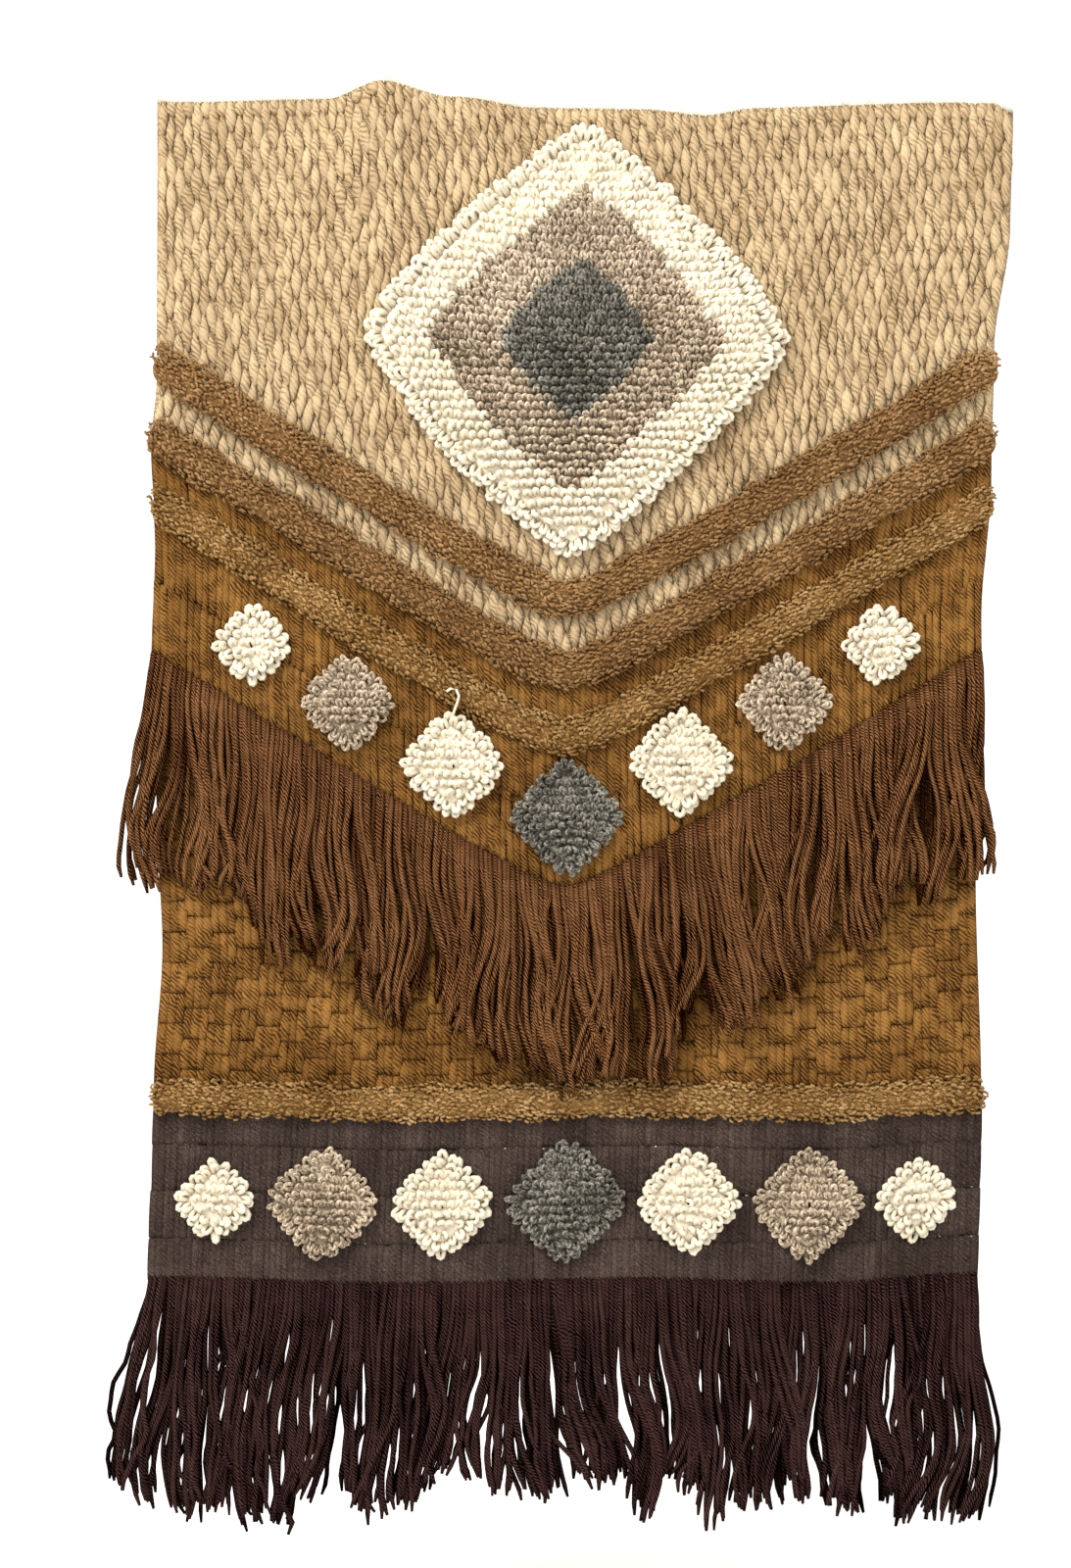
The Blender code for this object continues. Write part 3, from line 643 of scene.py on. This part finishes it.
# The ochre needlework
# Firm ochre wool in two stitches: rows of long satin strands that follow the chevrons, and below them
# upright strands laid in threes like bricks, each block half a step lower than the next.
FRINGE_ROOT = (0.546, 0.371)
SATIN_ROWS = (SAND_FOOT, (0.442, 0.267), (0.494, 0.319), FRINGE_ROOT)
SATIN_COLUMNS = 122
SATIN_OVERLAP = 2 * mm
SATIN_FORM = {
    "half_width": (2.2 * mm, 0.9 * mm),
    "half_height": (1.0 * mm, 0.8 * mm),
    "lift": (1.8 * mm, 1.4 * mm),
    "belly": 0.35,
    "lean": 0.03,
    "unevenness": 0.4,
}
BRICK_REPEAT = 21.5 * mm
BRICK_STITCH = BRICK_REPEAT - 1.2 * mm
BRICK_STRANDS = 3
BRICK_FORM = {
    "half_width": (2.8 * mm, 1.0 * mm),
    "half_height": (0.8 * mm, 1.2 * mm),
    "lift": (1.2 * mm, 2.2 * mm),
    "belly": 0.35,
    "unevenness": 0.3,
}


def satin_rows(lines, columns, overlap, stray, spread):
    """The stitches of each row of satin from one line to the next, as (across, upper end, lower end)."""
    pitch = CLOTH_WIDTH / (columns + 0.4)
    for upper, lower in zip(lines, lines[1:]):
        across = (np.arange(columns) - (columns - 1) / 2) * pitch + chance.normal(0, stray, columns)
        start = chevron(upper, across) + chance.normal(0, spread, columns)
        end = chevron(lower, across) + overlap + chance.normal(0, spread, columns)
        yield across, start, end


ochre_heap = YarnHeap()
for row_ends in satin_rows(SATIN_ROWS, SATIN_COLUMNS, SATIN_OVERLAP, 0.3 * mm, 0.9 * mm):
    upright_stitches(ochre_heap, *row_ends, **SATIN_FORM)
brick_ends = stitch_ends(BRICK_REPEAT, BRICK_STITCH, BRICK_STRANDS, FRINGE_ROOT, OCHRE_FOOT, 0.3 * mm)
upright_stitches(ochre_heap, *brick_ends, **BRICK_FORM)
ochre_stitches = ochre_heap.piece("ochre_stitches", ochre_wool, "ochre_needlework")


# The dark border
# Fine dark brown wool in level rows of satin stitch across the foot of the cloth. The rows meet in narrow
# dark seams.
BORDER_ROWS = [(down, down) for down in (OCHRE_FOOT[0], 0.729, 0.762, 0.795, 0.8245)]
BORDER_COLUMNS = 138
BORDER_FORM = {
    "half_width": (3.2 * mm, 0.5 * mm),
    "half_height": (0.6 * mm, 0.5 * mm),
    "lift": (2.2 * mm, 1.6 * mm),
    "belly": 0.3,
    "sides": 5,
    "unevenness": 0.25,
}

border_heap = YarnHeap()
for row_ends in satin_rows(BORDER_ROWS, BORDER_COLUMNS, 0.0, 0.2 * mm, 0.4 * mm):
    upright_stitches(border_heap, *row_ends, **BORDER_FORM)
border_stitches = border_heap.piece("dark_border_stitches", dark_wool, "dark_needlework")


# The pile bands
# Four raised bands of golden wool, three of them chevrons and one level over the dark border. They are
# worked close through the canvas in rows of tiny uncut loops that stand 10 to 11 mm high and press together.
BAND_HALF_LENGTH = HALF_WIDTH + 6 * mm
BAND_END = 9 * mm
# Each band's name, line, half width, height and slot.
BANDS = (
    ("pile_band_upper", (0.345, 0.170), 13 * mm, 11 * mm, "golden_pile"),
    ("pile_band_middle", SAND_FOOT, 13 * mm, 11 * mm, "golden_pile"),
    ("pile_band_lower", SATIN_ROWS[1], 12 * mm, 10 * mm, "light_golden_pile"),
    ("pile_band_base", OCHRE_FOOT, 12 * mm, 10 * mm, "light_golden_pile"),
)
# How long the waves are that make a band's width, height and line uneven.
BAND_WAVES = (0.029, 0.047, 0.083)
# The bed's half width, half height and lift, as shares of the band's half width and height.
BED_WIDTH_SHARE, BED_HEIGHT_SHARE, BED_LIFT_SHARE = 0.84, 0.57, 0.2
BED_INSET = 5.5 * mm
BED_STATIONS = 101
BED_SIDES = 12
NUB_PITCH = 4.0 * mm
NUB_ROW_PITCH = 1.9 * mm
NUB_YARN = 1.0 * mm
NUB_SPAN = 1.9 * mm
NUB_RISE = 2.4 * mm
NUB_STATIONS = 4
NUB_SIDES = 4
PILE_SHADES = {
    "golden_pile": ("55391c", "785834", "9b7a52"),
    "light_golden_pile": ("553512", "816136", "ab8a5d"),
}

# Golden pile wool: loosely curled, so the plies part and catch the light as small slanting dashes, with
# painted shade in the grooves between.
pile_wools = {
    slot: wool(
        slot + "_wool", shades, ridges=2, ridge_run=2.0 * mm, relief=0.2 * mm, groove_painted_shade=0.4, spread=0.5,
        gloss=0.08,
    )
    for slot, shades in PILE_SHADES.items()
}

for name, line, half_width, height, slot in BANDS:
    band_heap = YarnHeap()
    slope = (line[1] - line[0]) / HALF_WIDTH

    # The pressed feet of the pile, as a low rounded bed, given the darkest tone as painted shade between the
    # loops.
    bed_reach = BAND_HALF_LENGTH - BED_INSET
    bed_across = bed_reach * np.sin(np.linspace(-np.pi / 2, np.pi / 2, BED_STATIONS))
    bed_end = np.clip((bed_reach - np.abs(bed_across)) / BAND_END, 0.02, 1)
    bed_size = np.sqrt(1 - (1 - bed_end) ** 2)
    bed_path = on_cloth(bed_across, chevron(line, bed_across), FACE_LIFT + BED_LIFT_SHARE * height)
    bed_wide, bed_high = half_width * BED_WIDTH_SHARE * bed_size, height * BED_HEIGHT_SHARE * bed_size
    band_heap.add(bed_path[None], bed_wide, bed_high, BED_SIDES, (0, 1, 0), 0.0, SLACK_TWIST)

    # The loops, in rows along the band that fan out over its rounded section and its ends.
    count = int(2 * BAND_HALF_LENGTH * math.hypot(1, slope) / NUB_PITCH)
    rows = int(2 * half_width / NUB_ROW_PITCH)
    row, run = np.indices((rows, count)).reshape(2, -1, 1)
    run = run + 0.5 * (row % 2) + chance.uniform(-0.1, 0.6, row.shape)
    side = np.clip(2 * row / (rows - 1) - 1 + chance.normal(0, 0.05, row.shape), -1.05, 1.05)
    half_run = BAND_HALF_LENGTH - NUB_SPAN - 2 * NUB_YARN - 0.6 * BAND_END * side**2
    across = (run / count * 2 - 1) * half_run
    end_share = np.clip((BAND_HALF_LENGTH - np.abs(across)) / BAND_END, 0, 1)
    end_size = np.sqrt(1 - (1 - end_share) ** 2)
    falling = slope * across / np.hypot(across, CHEVRON_SOFTNESS)
    aside_across, aside_down = -falling / np.hypot(falling, 1), 1 / np.hypot(falling, 1)
    waves = [np.sin(math.tau * across / pitch + chance.uniform(0, math.tau)) for pitch in BAND_WAVES]
    lump, drift = waves[0] * waves[1], waves[1] * waves[2]
    off_line = side * (half_width - NUB_YARN) * end_size**1.5 * (1 + 0.12 * lump) + 1.3 * mm * drift
    section = np.sqrt(np.clip(1 - 0.72 * side**2, 0.1, 1))
    crown = FACE_LIFT + 0.9 * mm * np.maximum(lump, 0) + height * section * (0.3 + 0.7 * end_size)
    crown = crown + chance.normal(0, 0.6 * mm, row.shape) - NUB_YARN
    down = chevron(line, across) + off_line / aside_down
    way = np.arctan2(falling, 1) + chance.normal(0.15, 0.35, row.shape)
    angle = np.linspace(0, np.pi, NUB_STATIONS)
    share, up = -np.cos(angle), np.sin(angle)
    fan = 1.4 * mm * side + chance.normal(-0.6 * mm, 0.5 * mm, row.shape)
    span = NUB_SPAN * chance.normal(1, 0.15, row.shape)
    paths = on_cloth(
        across + span * np.cos(way) * share + aside_across * fan * up,
        down + span * np.sin(way) * share + aside_down * fan * up,
        crown - NUB_RISE * (1 - up),
    )
    thick = (0.8 + 0.2 * up) * NUB_YARN * chance.normal(1, 0.10, row.shape)
    band_heap.add(paths, thick, thick, NUB_SIDES, on_cloth(-np.sin(way), np.cos(way), 0.1))
    band_heap.piece(name + "_loops", pile_wools[slot], slot, name)


# The loop pile lozenges
# A large lozenge in three rings over the sand ground, a chevron row of small ones below the bands, and a
# level row on the dark border. All are uncut loops of soft wool, worked close in level rows along the canvas.
# They lean upward over each other like scales, and those at the rim flop over the ground as open loops.
LOOP_PITCH = 5.5 * mm
LOOP_ROW_PITCH = 5.8 * mm
LOOP_SPAN = 1.8 * mm
LOOP_STATIONS = 7
LOOP_SIDES = 5
# A loop's length and the lift of its feet, as shares of the pile's height.
LOOP_LENGTH_SHARE, FEET_LIFT_SHARE = 0.70, 0.28
RIM_INSET = 10.5 * mm
RIM_WIDTH = 9.0 * mm
# The rows of the rim, as how far in the feet are, the pitch, the lean in degrees, and how far they sink.
RIM_ROWS = ((7.2 * mm, 4.8 * mm, 68, 1.6 * mm), (9.6 * mm, 5.4 * mm, 44, 0.0))
OPEN_SHARE = 0.15
RING_INSET = -0.8 * mm
OUTLINE_STATIONS = 48
RUN_STATIONS = 361
LOZENGE_PILE = 12 * mm
SMALL_PILE = 10 * mm
TAUPE_HALF = 0.106
CORE_HALF = 0.056
ROW_LINE = (0.498, 0.323)
BORDER_LINE = (0.767, 0.767)
# The small lozenges from the middle of each row outward, as (across, half size, wool).
ROW_LOZENGES = (
    (0.000, 0.041, "charcoal"), (0.083, 0.037, "cream"), (0.158, 0.034, "taupe"), (0.227, 0.028, "cream"),
)
BORDER_LOZENGES = (
    (0.000, 0.043, "charcoal"), (0.089, 0.037, "cream"), (0.175, 0.040, "taupe"), (0.253, 0.029, "cream"),
)
# One end of yarn has worked loose over the rim of a lozenge, as points in mm from the lozenge's middle.
LOOSE_LOZENGE = "row_lozenge_3"
LOOSE_YARN = 1.0 * mm
LOOSE_END = (
    (0, -28, 12), (1, -34, 15), (3, -39, 17), (5, -44, 18), (6, -48, 18.5), (4, -52, 18), (0, -53, 17),
    (-3, -51, 16),
)

# Cream is a bright undyed fleece, and taupe and charcoal are marled from a dark and a pale ply.
loop_wools = {
    "cream": wool(
        "cream_loop_wool", ("c0b599", "cdc2ab", "d1c7b3"), ridges=4, ridge_run=2.4 * mm, relief=0.25 * mm,
        groove_painted_shade=0.2, fuzziness=0.4, sheen=0.02,
    ),
    "taupe": wool(
        "taupe_loop_wool", ("64543f", "9c8a74", "cbb9a0"), ridges=4, ridge_run=2.0 * mm, relief=0.3 * mm,
        marl=0.4,
    ),
    "charcoal": wool(
        "charcoal_loop_wool", ("2d2a22", "5d594f", "8f8b7f"), ridges=4, ridge_run=2.0 * mm, relief=0.3 * mm,
        marl=0.4,
    ),
}
# Each yarn's half thickness, its gauge, and the height and tone of the bed that its pressed feet make. The
# bed's tone is painted light under the cream, for light that passes through the pale wool, and painted shade
# under the taupe and charcoal.
LOOP_YARNS = {
    "cream": (1.85 * mm, 1.15, 0.46, 1.8),
    "taupe": (1.35 * mm, 1.0, 0.36, 0.2),
    "charcoal": (1.35 * mm, 1.0, 0.36, 0.2),
}


def lozenge_outline(size, turn):
    """Places round a lozenge, as (across, down) from its middle."""
    way = np.stack([np.cos(turn), np.sin(turn)])
    return size * np.sign(way) * np.abs(way) ** (2 / CORNER_SOFTNESS)


def bed_of_loops(heap, middle, outer, inner, crown, rim_fall, tone_and_painted_shade):
    """The pressed feet of the pile, as a low closed ring or mound with an outer slope rim_fall wide. Its tone
    gives it painted shade, and painted light where the wool is cream.
    """
    rim = outer - 0.5 * mm - 0.3 * rim_fall
    hole = inner + 0.6 * mm if inner else 3 * mm
    sizes = (rim, rim - 0.4 * rim_fall, rim - 0.7 * rim_fall - 0.1 * mm, hole, hole, rim)
    lifts = FACE_LIFT + np.array([-1 * mm, 0.5 * crown, crown, crown, -2 * mm, -2 * mm])
    turn = np.linspace(0, math.tau, OUTLINE_STATIONS, endpoint=False)
    rings = np.stack([lozenge_outline(size, turn) for size in sizes])
    points = on_cloth(rings[:, 0] + middle[0], rings[:, 1] + middle[1], lifts[:, None]).reshape(-1, 3)
    index = np.arange(len(points)).reshape(-1, OUTLINE_STATIONS) + heap.count
    after, below = np.roll(index, -1, axis=1), np.roll(index, -1, axis=0)
    quads = np.stack([index, below, np.roll(below, -1, axis=1), after], axis=-1).reshape(-1, 4)
    heap.faces.extend(quads.tolist())
    heap.points.append(points)
    heap.uvs.append(np.zeros((quads.size, 2)))
    heap.traits.append(np.tile([tone_and_painted_shade, SLACK_TWIST, 0.5], (len(points), 1)))
    heap.count += len(points)


def evenly_round(size, spacing):
    """Places at an even spacing round a lozenge, and the way out at each."""
    ring = lozenge_outline(size, np.linspace(0, math.tau, RUN_STATIONS))
    run = np.concatenate([[0], np.cumsum(np.linalg.norm(np.diff(ring, axis=1), axis=0))])
    count = int(run[-1] / spacing)
    at = (np.arange(count) + chance.uniform()) / count * run[-1]
    places = np.stack([np.interp(at, run, part) for part in ring])
    way_out = np.sign(places) * np.sqrt(np.abs(places) / size + 0.02)
    return places, np.arctan2(way_out[1], way_out[0])


def add_loops(heap, across, down, way, lean, length, span, foot_lift, foot_share, yarn):
    """Adds upright loops that each lean over by an angle, the way that they point. foot_share is how far
    back from its place a loop's feet are, as a share of its length."""
    angle = np.linspace(0, np.pi, LOOP_STATIONS)
    sideways = -np.sign(np.cos(angle)) * np.abs(np.cos(angle)) ** 0.8
    upward = np.sin(angle) ** 0.7
    across, down, way, lean, length, span = np.stack([across, down, way, lean, length, span])[..., None]
    forward = np.sin(lean) * length * (upward - foot_share)
    paths = on_cloth(
        across - np.sin(way) * span * sideways + np.cos(way) * forward,
        down + np.cos(way) * span * sideways + np.sin(way) * forward,
        foot_lift + np.cos(lean) * length * upward,
    )
    outward = on_cloth(np.cos(way) * np.cos(lean), np.sin(way) * np.cos(lean), -np.sin(lean))
    thick = yarn * chance.normal(1, 0.06, across.shape)
    heap.add(paths, thick, thick, LOOP_SIDES, outward)


def loop_pile(name, middle, outer, inner, pile, yarn_name, free_rim):
    """A lozenge, or one ring of it, of loops worked in level rows, with open loops round a free rim."""
    heap = YarnHeap()
    yarn, gauge, bed_share, painted_bed_light = LOOP_YARNS[yarn_name]
    inset = RIM_INSET if free_rim else RING_INSET
    bed_of_loops(heap, middle, outer, inner, bed_share * pile, max(inset, 0), painted_bed_light)
    rows, columns = int(outer / LOOP_ROW_PITCH) + 2, int(outer / LOOP_PITCH) + 2
    row, column = np.mgrid[-rows : rows + 1, -columns : columns + 1]
    across = (column + 0.5 * (row % 2)) * LOOP_PITCH * gauge + chance.normal(0, 0.6 * mm, row.shape)
    down = row * LOOP_ROW_PITCH * gauge + chance.normal(0, 0.6 * mm, row.shape)
    reach = lozenge_reach(across, down)
    kept = (reach < outer - inset) & (reach > inner + (RING_INSET if inner else 0))
    across, down, reach = across[kept], down[kept], reach[kept]
    loops = len(across)

    # The loops inside lean up the cloth, and more outward the nearer they are to a free rim.
    at_rim = 0.6 * smooth_step(1 - (outer - inset - reach) / RIM_WIDTH) * free_rim
    from_middle = np.maximum(np.hypot(across, down), 1 * mm)
    lean_across = (0.3 + 0.7 * at_rim) * across / from_middle
    lean_down = (0.3 + 0.7 * at_rim) * down / from_middle - 0.8 * (1 - at_rim)
    way = np.arctan2(lean_down, lean_across) + chance.normal(0, 0.35, loops)
    lean = np.radians(14 + 44 * np.hypot(lean_across, lean_down) + chance.normal(0, 8, loops))
    length = LOOP_LENGTH_SHARE * pile * chance.normal(1, 0.08, loops)
    span = LOOP_SPAN * gauge * chance.normal(1, 0.12, loops)
    foot_lift = FACE_LIFT + FEET_LIFT_SHARE * pile
    add_loops(heap, across + middle[0], down + middle[1], way, lean, length, span, foot_lift, 0.5, yarn)

    # At a free rim one row of loops flops over the ground, here and there as an open ring, and a second
    # row stands half way up over its feet.
    for foot_inset, pitch, rim_lean, sink in RIM_ROWS if free_rim else ():
        (across, down), way = evenly_round(outer - foot_inset, pitch * gauge)
        loops = len(way)
        way = way + chance.normal(0, 0.22, loops)
        lean = np.radians(rim_lean + chance.normal(0, 6, loops))
        length = (LOOP_LENGTH_SHARE * pile + 1.2 * mm) * chance.normal(1, 0.08, loops)
        is_open = chance.uniform(0, 1, loops) < OPEN_SHARE
        span = LOOP_SPAN * gauge * (chance.normal(1, 0.12, loops) + 0.4 * is_open)
        across, down, lift = across + middle[0], down + middle[1], foot_lift - sink
        add_loops(heap, across, down, way, lean, length, span, lift, 0, yarn)
    if name == LOOSE_LOZENGE:
        loose_path = np.array(LOOSE_END) * mm + [middle[0], middle[1], 0]
        heap.add(loose_path[None], LOOSE_YARN, LOOSE_YARN, LOOP_SIDES, (1, 0, 0.5))
    return heap.piece(name + "_loops", loop_wools[yarn_name], yarn_name + "_loops", name)


lozenge_pieces = [
    loop_pile("lozenge_cream", LOZENGE_MIDDLE, LOZENGE_HALF, TAUPE_HALF, LOZENGE_PILE, "cream", True),
    loop_pile("lozenge_taupe", LOZENGE_MIDDLE, TAUPE_HALF, CORE_HALF, LOZENGE_PILE, "taupe", False),
    loop_pile("lozenge_charcoal", LOZENGE_MIDDLE, CORE_HALF, 0.0, LOZENGE_PILE, "charcoal", False),
]
for prefix, line, half_row in (
    ("row_lozenge", ROW_LINE, ROW_LOZENGES),
    ("border_lozenge", BORDER_LINE, BORDER_LOZENGES),
):
    mirrored = [(-across, half, yarn_name) for across, half, yarn_name in half_row[:0:-1]]
    for number, (across, half, yarn_name) in enumerate(mirrored + list(half_row), start=1):
        middle = (across, float(chevron(line, across)))
        lozenge_pieces.append(loop_pile(f"{prefix}_{number}", middle, half, 0.0, SMALL_PILE, yarn_name, True))


# The fringes
# Long lengths of three-ply rug wool, knotted through the canvas in bunches of twelve: a brown fringe along
# a chevron across the cloth, which falls over the base band, and a dark one along the foot. The bunches hang
# in long waves, cross over each other and end in loose points.
STRAND_YARN = 1.85 * mm
FRINGE_STATIONS = 22
FRINGE_SIDES = 4
BUNCHES = 46
BUNCH_PITCH = CLOTH_WIDTH / BUNCHES
BUNCH_LAYERS = 3
BUNCH_COLUMNS = 4
BUNCH_STRANDS = BUNCH_LAYERS * BUNCH_COLUMNS
LAYER_DEPTH = 2.8 * mm
# How far the strands of each layer, from the back one, go along with the sway of their bunch.
LAYER_SWAY = (0.35, 0.8, 1.0)
BUNCH_DEPTH = 7.0 * mm
LENGTH_SPREAD = 13 * mm
CLUMP_PITCH = 78 * mm
CLUMP_LENGTHENING = 7 * mm
EDGE_LENGTHENING = 12 * mm
CLUMP_PULL = 3.4 * mm
LEAN_PITCH = 0.500
LEAN_START = 0.1
LEAN_REACH = 10 * mm
RIPPLE_PITCH = 0.210
RIPPLES = 1.3
RIPPLE_REACH = 2.2 * mm
SPREAD_FROM = 0.225
SPREAD_REACH = 24 * mm
ROOT_LAYER_DEPTH = 1.2 * mm
ROOT_SHARE = 0.10
TIP_SHARE = 0.05
# Where the brown fringe is pushed clear of the base band.
CLEAR_FROM, CLEAR_TO, CLEAR_LIFT = 0.625, 0.668, 11.5 * mm
# Waves of a bunch and of a single strand, sideways and in depth, as (how many over the length, reach).
BUNCH_WAVES = ((0.55, 7.5 * mm), (1.3, 4.0 * mm))
STRAND_WAVES = ((0.9, 2.8 * mm), (2.4, 1.3 * mm), (5.0, 0.4 * mm))
DEPTH_WAVES = ((1.2, 0.8 * mm),)
STRAY_SHARE = 0.05
STRAY_REACH = 2.5
# Each fringe's name, root line, root lift, hanging lift, length and shades.
FRINGES = (
    ("brown_fringe", FRINGE_ROOT, 4.0 * mm, 9.0 * mm, 0.134, ("0b0301", "37190a", "775233")),
    ("dark_fringe", (0.8215, 0.8215), 0.8 * mm, 1.5 * mm, 0.146, ("020101", "0b0605", "402b28")),
)


def waves_along(share, waves, number):
    """Sideways waves that start from nothing at the root, for each of a number of lengths."""
    total = 0
    for turns, reach in waves:
        start = chance.uniform(0, math.tau, (number, 1))
        turns = turns * chance.uniform(0.8, 1.2, (number, 1))
        reach = reach * chance.normal(1, 0.3, (number, 1))
        total = total + reach * (np.sin(math.tau * turns * share + start) - np.sin(start)) * share
    return total


for name, line, root_lift, hang_lift, length, shades in FRINGES:
    # Hard spun three-ply: each ply's ridge slants steeply over the strand and catches the light, and painted
    # shade darkens the grooves between.
    strand_wool = wool(
        name + "_wool", shades, ridges=3, ridge_run=2.7 * mm, relief=1.0 * mm, groove_painted_shade=1.35, spread=0.6,
        felted=0.3, sheen=0.02, gloss=0.0,
    )
    share = np.linspace(0, 1, FRINGE_STATIONS)
    bunch, member = np.divmod(np.arange(BUNCHES * BUNCH_STRANDS), BUNCH_STRANDS)
    column, layer = np.divmod(member[:, None], BUNCH_LAYERS)
    held = np.array(LAYER_SWAY)[layer]
    column_pitch = BUNCH_PITCH / BUNCH_COLUMNS
    within = (column - (BUNCH_COLUMNS - 1) / 2 + (layer - 1) / BUNCH_LAYERS) * column_pitch
    within = within + chance.normal(0, 0.4 * mm, layer.shape)
    across = (bunch[:, None] + 0.5) * BUNCH_PITCH - HALF_WIDTH + within
    across = np.clip(across, -HALF_WIDTH + STRAND_YARN, HALF_WIDTH - STRAND_YARN)

    # How far down each strand falls.
    run = length + chance.uniform(-1, 1, (BUNCHES, 1))[bunch] * LENGTH_SPREAD
    run = run + chance.normal(0, 4 * mm, layer.shape)
    run = run - CLUMP_LENGTHENING * np.cos(math.tau * across / CLUMP_PITCH)
    run = run + EDGE_LENGTHENING * np.abs(across) / HALF_WIDTH
    down = chevron(line, across) + run * share

    # How far it sways: with its clump, with the fringe, with its bunch, and by itself.
    clump = -CLUMP_PULL * np.sin(math.tau * across / CLUMP_PITCH)
    lean = LEAN_REACH * np.sin(math.tau * (across / LEAN_PITCH + LEAN_START))
    beyond = np.maximum(np.abs(across) - SPREAD_FROM, 0) / (HALF_WIDTH - SPREAD_FROM)
    spread = np.sign(across) * SPREAD_REACH * beyond**2
    ripple = RIPPLE_REACH * np.sin(math.tau * (across / RIPPLE_PITCH + RIPPLES * share)) * share
    gather = chance.uniform(-0.45, 0.35, (BUNCHES, 1))[bunch] * smooth_step((share - 0.15) / 0.7)
    sway = (clump + lean + spread) * smooth_step(share) + ripple + held * within * gather
    stray = 1 + STRAY_REACH * (chance.uniform(0, 1, layer.shape) < STRAY_SHARE)
    sway = sway + held * waves_along(share, BUNCH_WAVES, BUNCHES)[bunch]
    sway = sway + waves_along(share, STRAND_WAVES, len(bunch)) * stray

    # How far it stands off the cloth.
    depth = (chance.permutation(BUNCHES) / BUNCHES * BUNCH_DEPTH)[bunch, None] + layer * LAYER_DEPTH
    depth = depth + waves_along(share, DEPTH_WAVES, len(bunch))
    lift = root_lift + layer * ROOT_LAYER_DEPTH
    lift = lift + (hang_lift + depth - lift) * smooth_step(share / ROOT_SHARE)
    if line is FRINGE_ROOT:
        lift = lift + CLEAR_LIFT * smooth_step((down - CLEAR_FROM) / (CLEAR_TO - CLEAR_FROM))
    taper = 1 - 0.45 * smooth_step((share - 1) / TIP_SHARE + 1)
    thick = STRAND_YARN * chance.normal(1, 0.07, layer.shape) * taper
    # Painted shade: the back layers are darker and the front layer lighter, round a tone that differs at
    # random.
    tone_and_painted_shade = 0.5 + 0.35 * (layer - 1) + chance.uniform(-0.35, 0.35, layer.shape)
    heap = YarnHeap()
    heap.add(on_cloth(across + sway, down, lift), thick, thick, FRINGE_SIDES, (1, 0, 0), tone_and_painted_shade[:, 0])
    heap.piece(name + "_strands", strand_wool, name + "_yarn", name)


boxes = {"cad": packed_box, "visual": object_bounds()}
{name: [list(corner) for corner in box] for name, box in boxes.items()}
